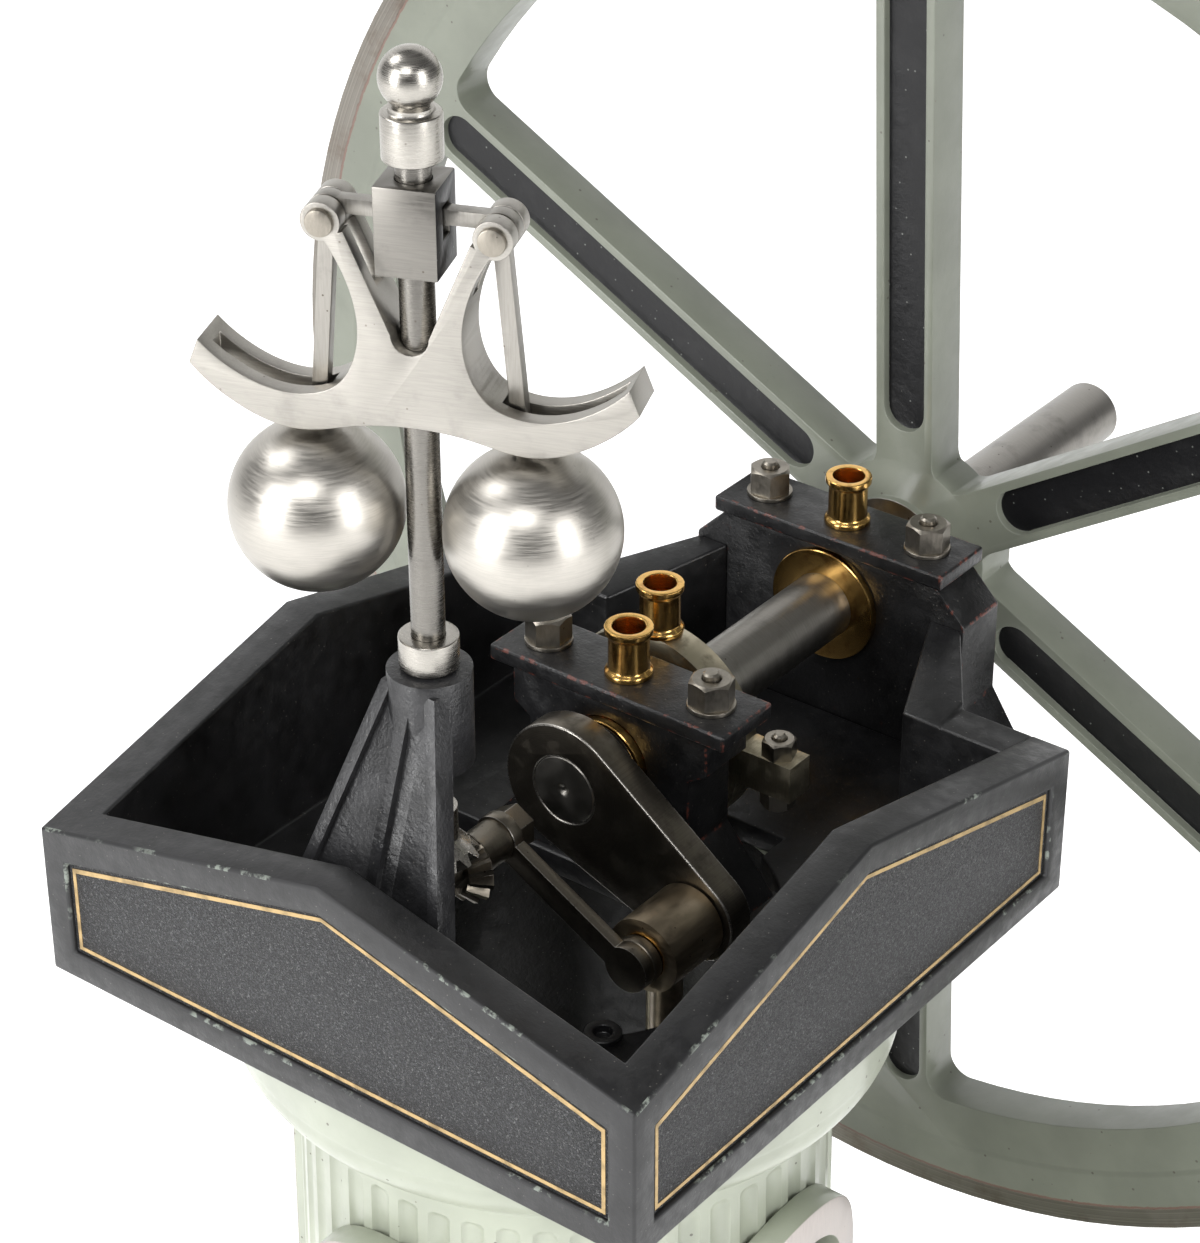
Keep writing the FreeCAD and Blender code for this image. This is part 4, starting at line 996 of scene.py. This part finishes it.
# ---- crank ----
class ENGINE_OT_crank(bpy.types.Operator):
    """Finishes the shaft, crank, drag link and connecting rod"""
    bl_idname = "engine.crank"
    bl_label = "Crank and rod"

    def execute(self, context):
        end = SHAFT_HIGH.y
        radius, seat, chamfer = SHAFT_RADIUS, SHAFT_RADIUS + HUB_SEAT, 0.9 * MM
        profile = [(0, chamfer), (chamfer, 0), (radius, 0), (radius, WHEEL_LOW.y),
                   (seat, WHEEL_LOW.y), (seat, WHEEL_HIGH.y), (radius, WHEEL_HIGH.y),
                   (radius, end), (chamfer, end), (0, end - chamfer)]
        turned("shaft_turned", "crankshaft", "steel_shaft", profile, [Vector((0, 0, SHAFT_Z))],
               ALONG, 96, 0.4)
        softened("crank_web", 0.55, "oily_faced", "steel_edge", segments=3)
        softened("drag_link", 0.35, "oily", "steel_edge")
        softened("connecting_rod", 0.4, "rod")
        low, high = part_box("crank_pin")
        centre = Vector((CRANK_PIN.x, 0, CRANK_PIN.z))
        pin, collar, step = 2.6 * MM, 3.7 * MM, low.y + 1.8 * MM
        profile = [(0, low.y + 0.5 * MM), (0.7 * MM, low.y), (collar, low.y), (collar, step),
                   (pin, step), (pin, high.y), (0, high.y)]
        turned("crank_pin_turned", "crank_pin", "oily", profile, [centre], ALONG, 64, 0.3)
        low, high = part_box("big_end_brass")
        outer, bore, proud = (high.z - low.z) / 2, 2.65 * MM, 0.15 * MM
        profile = [(bore, low.y - proud), (outer, low.y - proud), (outer, high.y + proud),
                   (bore, high.y + proud)]
        turned("big_end_bush", "big_end_brass", "brass", profile, [centre], ALONG, 64,
               closed=True)
        return {"FINISHED"}


class ENGINE_OT_eccentric(bpy.types.Operator):
    """Finishes the eccentric, its strap and oil cup"""
    bl_idname = "engine.eccentric"
    bl_label = "Eccentric"

    def execute(self, context):
        softened("eccentric_sheave", 0.3, "oily")
        softened("eccentric_strap", 0.3, "strap", "steel_edge")
        low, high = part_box("strap_oil_cup")
        centre = Vector((SHEAVE.x, (low.y + high.y) / 2, high.z - 8.0 * MM))
        boss, rise = 2.3 * MM, 0.6 * MM
        bm = bmesh.new()
        lathe(bm, eased(cup_profile(), 0.22 * MM), centre)
        lathe(bm, [(0, -rise), (boss, -rise), (boss, rise), (0, rise)], centre, UP, 48)
        piece("strap_cup_turned", bm, "strap_oil_cup", ["brass"])
        low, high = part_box("eccentric_sheave")
        middle = (low.y + high.y) / 2
        nut = hexagon_nut(4.6 * MM, 2.8 * MM, 1.0 * MM, 0.95 * MM, 0.7 * MM)
        places = []
        for side in (-1, 1):
            for up, turn in ((1, (0, 0, 0.3)), (-1, (math.pi, 0, 0.1))):
                places.append(((SHEAVE.x + side * LUG_REACH, middle, SHEAVE.z + up * 3 * MM),
                               turn))
        mesh = repeated("strap_nuts", places, nut, MATERIALS["nut"])
        piece("strap_nuts", mesh, "eccentric_strap", ["nut"], in_place=False)
        return {"FINISHED"}


# ---- flywheel ----
def wheel_regions(bm):
    """Recess floors black, the hub's ring bare."""
    for face in bm.faces:
        spot = face.calc_center_median()
        radius = math.hypot(spot.x, spot.z - SHAFT_Z)
        depths = (spot.y - WHEEL_FRONT, WHEEL_BACK - spot.y)
        floor = min(abs(depth - RECESS) for depth in depths) < 0.2 * MM
        if abs(face.normal.y) > 0.95 and floor and 19 * MM < radius < 107 * MM:
            face.material_index = 1
        elif radius < 9.7 * MM and min(depths) < -0.3 * MM:
            face.material_index = 2


class ENGINE_OT_flywheel(bpy.types.Operator):
    """Finishes the flywheel"""
    bl_idname = "engine.flywheel"
    bl_label = "Flywheel"

    def execute(self, context):
        bm = node_copy("flywheel")
        wheel_regions(bm)
        bevel_edges(bm, context.scene.engine_wheel.edge, segments=3,
                    wanted=lambda e: min(f.calc_area() for f in e.link_faces) > 0.01 * MM * MM)
        piece("flywheel_finished", bm, "flywheel", ["wheel", "recess", "steel_shaft"],
              outward=False)
        return {"FINISHED"}


# ---- governor ----
def paint_flank_shade(bm):
    """The block's two flanks take the second finish, near black as a painted shade."""
    along = Vector((math.cos(GOVERNOR_ANGLE), math.sin(GOVERNOR_ANGLE), 0))
    for face in bm.faces:
        face.material_index = int(abs(face.normal.dot(along)) > 0.9)


class ENGINE_OT_governor(bpy.types.Operator):
    """Finishes the governor, its levers, balls and post"""
    bl_idname = "engine.governor"
    bl_label = "Governor"

    def execute(self, context):
        softened("governor_anchor", 0.3, "steel_flat", segments=3)
        # the block's flanks take the recess black as a painted shade
        softened("sliding_block", 0.3, "block", "recess", paint=paint_flank_shade)
        for node in ("right_ball_lever", "left_ball_lever"):
            softened(node, 0.18, "steel_lever")
        for node in ("right_ball", "left_ball"):
            low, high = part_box(node)
            radius = (high.z - low.z) / 2
            profile = [(radius * math.sin(a), -radius * math.cos(a))
                       for a in (math.pi * k / 48 for k in range(49))]
            profile[0], profile[-1] = (0, -radius), (0, radius)
            turned(node + "_turned", node, "steel_ball", profile, [(low + high) / 2],
                   segments=96)
        low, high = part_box("governor_spindle")
        profile = [(0, low.z), (SPINDLE, low.z), (SPINDLE, high.z), (0, high.z)]
        turned("spindle_turned", "governor_spindle", "spindle", profile, [GOVERNOR],
               segments=64, rounding=0.3)
        low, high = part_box("governor_finial")
        top, collar, neck, ball = high.z, 3.9 * MM, 2.9 * MM, 4.0 * MM
        step, centre_z = low.z + 6.2 * MM, top - ball
        start = math.acos(neck * 0.82 / ball)
        profile = [(0, low.z), (collar, low.z), (collar, step), (neck, step),
                   (neck, centre_z - ball * math.sin(start) - 0.3 * MM)]
        profile = eased(profile, 0.35 * MM)
        profile += [(ball * math.cos(a), centre_z + ball * math.sin(a)) for a in
                    (-start + (math.pi / 2 + start) * k / 28 for k in range(28))] + [(0, top)]
        turned("finial_turned", "governor_finial", "steel_upright", profile, [GOVERNOR],
               segments=80)
        low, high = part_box("spindle_collar")
        bore, outer = SPINDLE + 0.05 * MM, 4.1 * MM
        profile = [(bore, low.z), (outer, low.z), (outer, high.z), (bore, high.z)]
        turned("collar_turned", "spindle_collar", "steel_upright", profile, [GOVERNOR],
               rounding=0.35, closed=True)
        softened("pivot_pins", 0.22, "nut")
        softened("governor_post", 0.45, "black_post")
        return {"FINISHED"}


class ENGINE_OT_gears(bpy.types.Operator):
    """Finishes the pair of mitre gears"""
    bl_idname = "engine.gears"
    bl_label = "Gears"

    def execute(self, context):
        softened("spindle_gear", 0.12, "gear_bright", segments=1)
        softened("drive_gear", 0.12, "oily", "steel_edge", segments=1)
        return {"FINISHED"}


class ENGINE_OT_cylinder(bpy.types.Operator):
    """Finishes the cylinder, crosshead and valve gear inside the column"""
    bl_idname = "engine.cylinder"
    bl_label = "Cylinder"

    def execute(self, context):
        for node, edge, finish in (
                ("cylinder", 0.5, "iron"), ("cylinder_cover", 0.5, "iron"),
                ("valve_chest", 0.6, "iron"), ("crosshead", 0.4, "oily"),
                ("guide_bracket", 0.5, "iron"), ("guide_bars", 0.3, "steel_upright"),
                ("piston_rod", 0.3, "steel_upright"), ("valve_spindle", 0.25, "steel_upright")):
            softened(node, edge, finish)
        return {"FINISHED"}


# ---- stage ----
def pale_floor(azimuth):
    """Plain pale paper: a floor that rises far behind the engine."""
    bm = bmesh.new()
    start, rise, half_width, drop = 2.2, 0.8, 4.0, 0.2 * MM
    rows = [(-3.0, 0.0), (start, 0.0)]
    rows += [(start + rise * math.sin(a), rise - rise * math.cos(a)) for a in
             (math.pi / 2 * k / 12 for k in range(1, 13))]
    rows.append((start + rise, 4.0))
    turn = Matrix.Rotation(azimuth, 3, "Z")
    lines = [[bm.verts.new(turn @ Vector((x, y, z - drop))) for x in (-half_width, half_width)]
             for y, z in rows]
    for low, high in zip(lines, lines[1:]):
        bm.faces.new((low[0], low[1], high[1], high[0])).smooth = True
    f = Finish("pale_paper")
    paper = f.blotched((0.93, 0.93, 0.93), (0.95, 0.95, 0.95), 0.4, 0.3, 0.7, 1.0, 2)
    f.set(Base_Color=paper, Roughness=0.9, Specular_IOR_Level=0.1,
          Emission_Color=(1.0, 1.0, 1.0), Emission_Strength=0.62)
    floor = shown("floor", mesh_of(bm, "floor"))
    floor.data.materials.append(f.material)


def soft_light(name, place, target, size, power):
    """A softbox that faces its target."""
    lamp = bpy.data.lights.new(name, "AREA")
    lamp.shape = "RECTANGLE"
    lamp.size, lamp.size_y = size
    lamp.energy = power
    made = shown(name, lamp)
    made.location = place
    made.rotation_euler = (Vector(place) - Vector(target)).to_track_quat("Z", "Y").to_euler()


def surround(strength):
    """Soft light from all round, dimmer beyond the engine."""
    world = bpy.data.worlds.new("studio")
    bpy.context.scene.world = world
    world.use_nodes = True
    tree = world.node_tree
    tree.nodes.clear()
    place = add(tree, "ShaderNodeTexCoord").outputs["Generated"]
    part = add(tree, "ShaderNodeSeparateXYZ", {"Vector": place}).outputs
    behind = vector_made(tree, "DOT_PRODUCT", place, (-0.52, 0.68, 0.52))
    level = spread(tree, part["Z"], -0.3, 0.9, 0.8, 0.95)
    for factor in (spread(tree, part["X"], -0.2, 0.9, 1.15, 0.3),
                   spread(tree, behind, 0.55, 0.95, 1.0, 0.3), strength):
        level = calculated(tree, "MULTIPLY", level, factor)
    sky = add(tree, "ShaderNodeBackground", {"Color": (1, 1, 1), "Strength": level})
    out = add(tree, "ShaderNodeOutputWorld")
    tree.links.new(sky.outputs[0], out.inputs["Surface"])


class ENGINE_OT_stage(bpy.types.Operator):
    """Sets up the floor, the lights and the camera"""
    bl_idname = "engine.stage"
    bl_label = "Stage"

    def execute(self, context):
        s = context.scene.engine_stage
        az, el = s.azimuth, s.elevation
        back = Vector((math.sin(az) * math.cos(el), -math.cos(az) * math.cos(el), math.sin(el)))
        right = Vector((math.cos(az), math.sin(az), 0))
        up = back.cross(right)
        turned_right = right * math.cos(s.roll) + up * math.sin(s.roll)
        turned_up = up * math.cos(s.roll) - right * math.sin(s.roll)
        data = bpy.data.cameras.new("camera")
        data.sensor_width, data.sensor_fit, data.lens = 36.0, "AUTO", s.lens
        camera = shown("camera", data)
        place = Vector(s.camera_place) + Vector((0, 0, TRAY_BASE))
        camera.matrix_world = Matrix.Translation(place) @ Matrix(
            (turned_right, turned_up, back)).transposed().to_4x4()
        context.scene.camera = camera
        pale_floor(az)
        surround(s.surround)
        aim = (0, 0, TRAY_BASE + 40 * MM)
        for name, place, size, power in (
                ("left_softbox", (-0.32, -1.10, 0.58), (0.40, 0.95), 19.0),
                ("right_softbox", (1.12, -0.12, 0.58), (0.40, 0.95), 13.0),
                ("high_softbox", (-0.70, -0.30, 1.20), (0.5, 0.5), 7.0),
                ("front_softbox", (0.35, -0.80, 1.15), (0.5, 0.4), 7.0)):
            soft_light(name, place, aim, size, power * s.key)
        context.scene.view_settings.view_transform = "Standard"
        return {"FINISHED"}


class ENGINE_OT_finishes(bpy.types.Operator):
    """Makes the paints and metals"""
    bl_idname = "engine.finishes"
    bl_label = "Finishes"

    def execute(self, context):
        make_materials()
        return {"FINISHED"}


class ENGINE_PT_panel(bpy.types.Panel):
    """Sizes, colours and building steps of the engine"""
    bl_idname = "ENGINE_PT_panel"
    bl_label = "Column steam engine"
    bl_space_type = "VIEW_3D"
    bl_region_type = "UI"
    bl_category = "Engine"

    def draw(self, context):
        for title, name, group in GROUPS:
            box = self.layout.box()
            box.label(text=title)
            for key in group.__annotations__:
                box.prop(getattr(context.scene, name), key)
        for step in STEPS:
            self.layout.operator(step.bl_idname)


GROUPS = (("Paint", "engine_paint", PaintColours), ("Metal", "engine_metal", MetalColours),
          ("Column", "engine_column", ColumnSizes), ("Flywheel", "engine_wheel", WheelSizes),
          ("Details", "engine_detail", DetailSizes), ("Stage", "engine_stage", StageSizes))
STEPS = (ENGINE_OT_finishes, ENGINE_OT_column, ENGINE_OT_tray, ENGINE_OT_bearings,
         ENGINE_OT_crank, ENGINE_OT_eccentric, ENGINE_OT_flywheel, ENGINE_OT_governor,
         ENGINE_OT_gears, ENGINE_OT_cylinder, ENGINE_OT_stage)
CLASSES = tuple(group for title, name, group in GROUPS) + STEPS + (ENGINE_PT_panel,)


def register():
    for cls in CLASSES:
        bpy.utils.register_class(cls)
    for title, name, group in GROUPS:
        setattr(bpy.types.Scene, name, PointerProperty(type=group))


def unregister():
    for title, name, group in GROUPS:
        delattr(bpy.types.Scene, name)
    for cls in reversed(CLASSES):
        bpy.utils.unregister_class(cls)


def main():
    register()
    for step in STEPS:
        group, name = step.bl_idname.split(".")
        getattr(getattr(bpy.ops, group), name)()


if __name__ == "__main__":
    main()
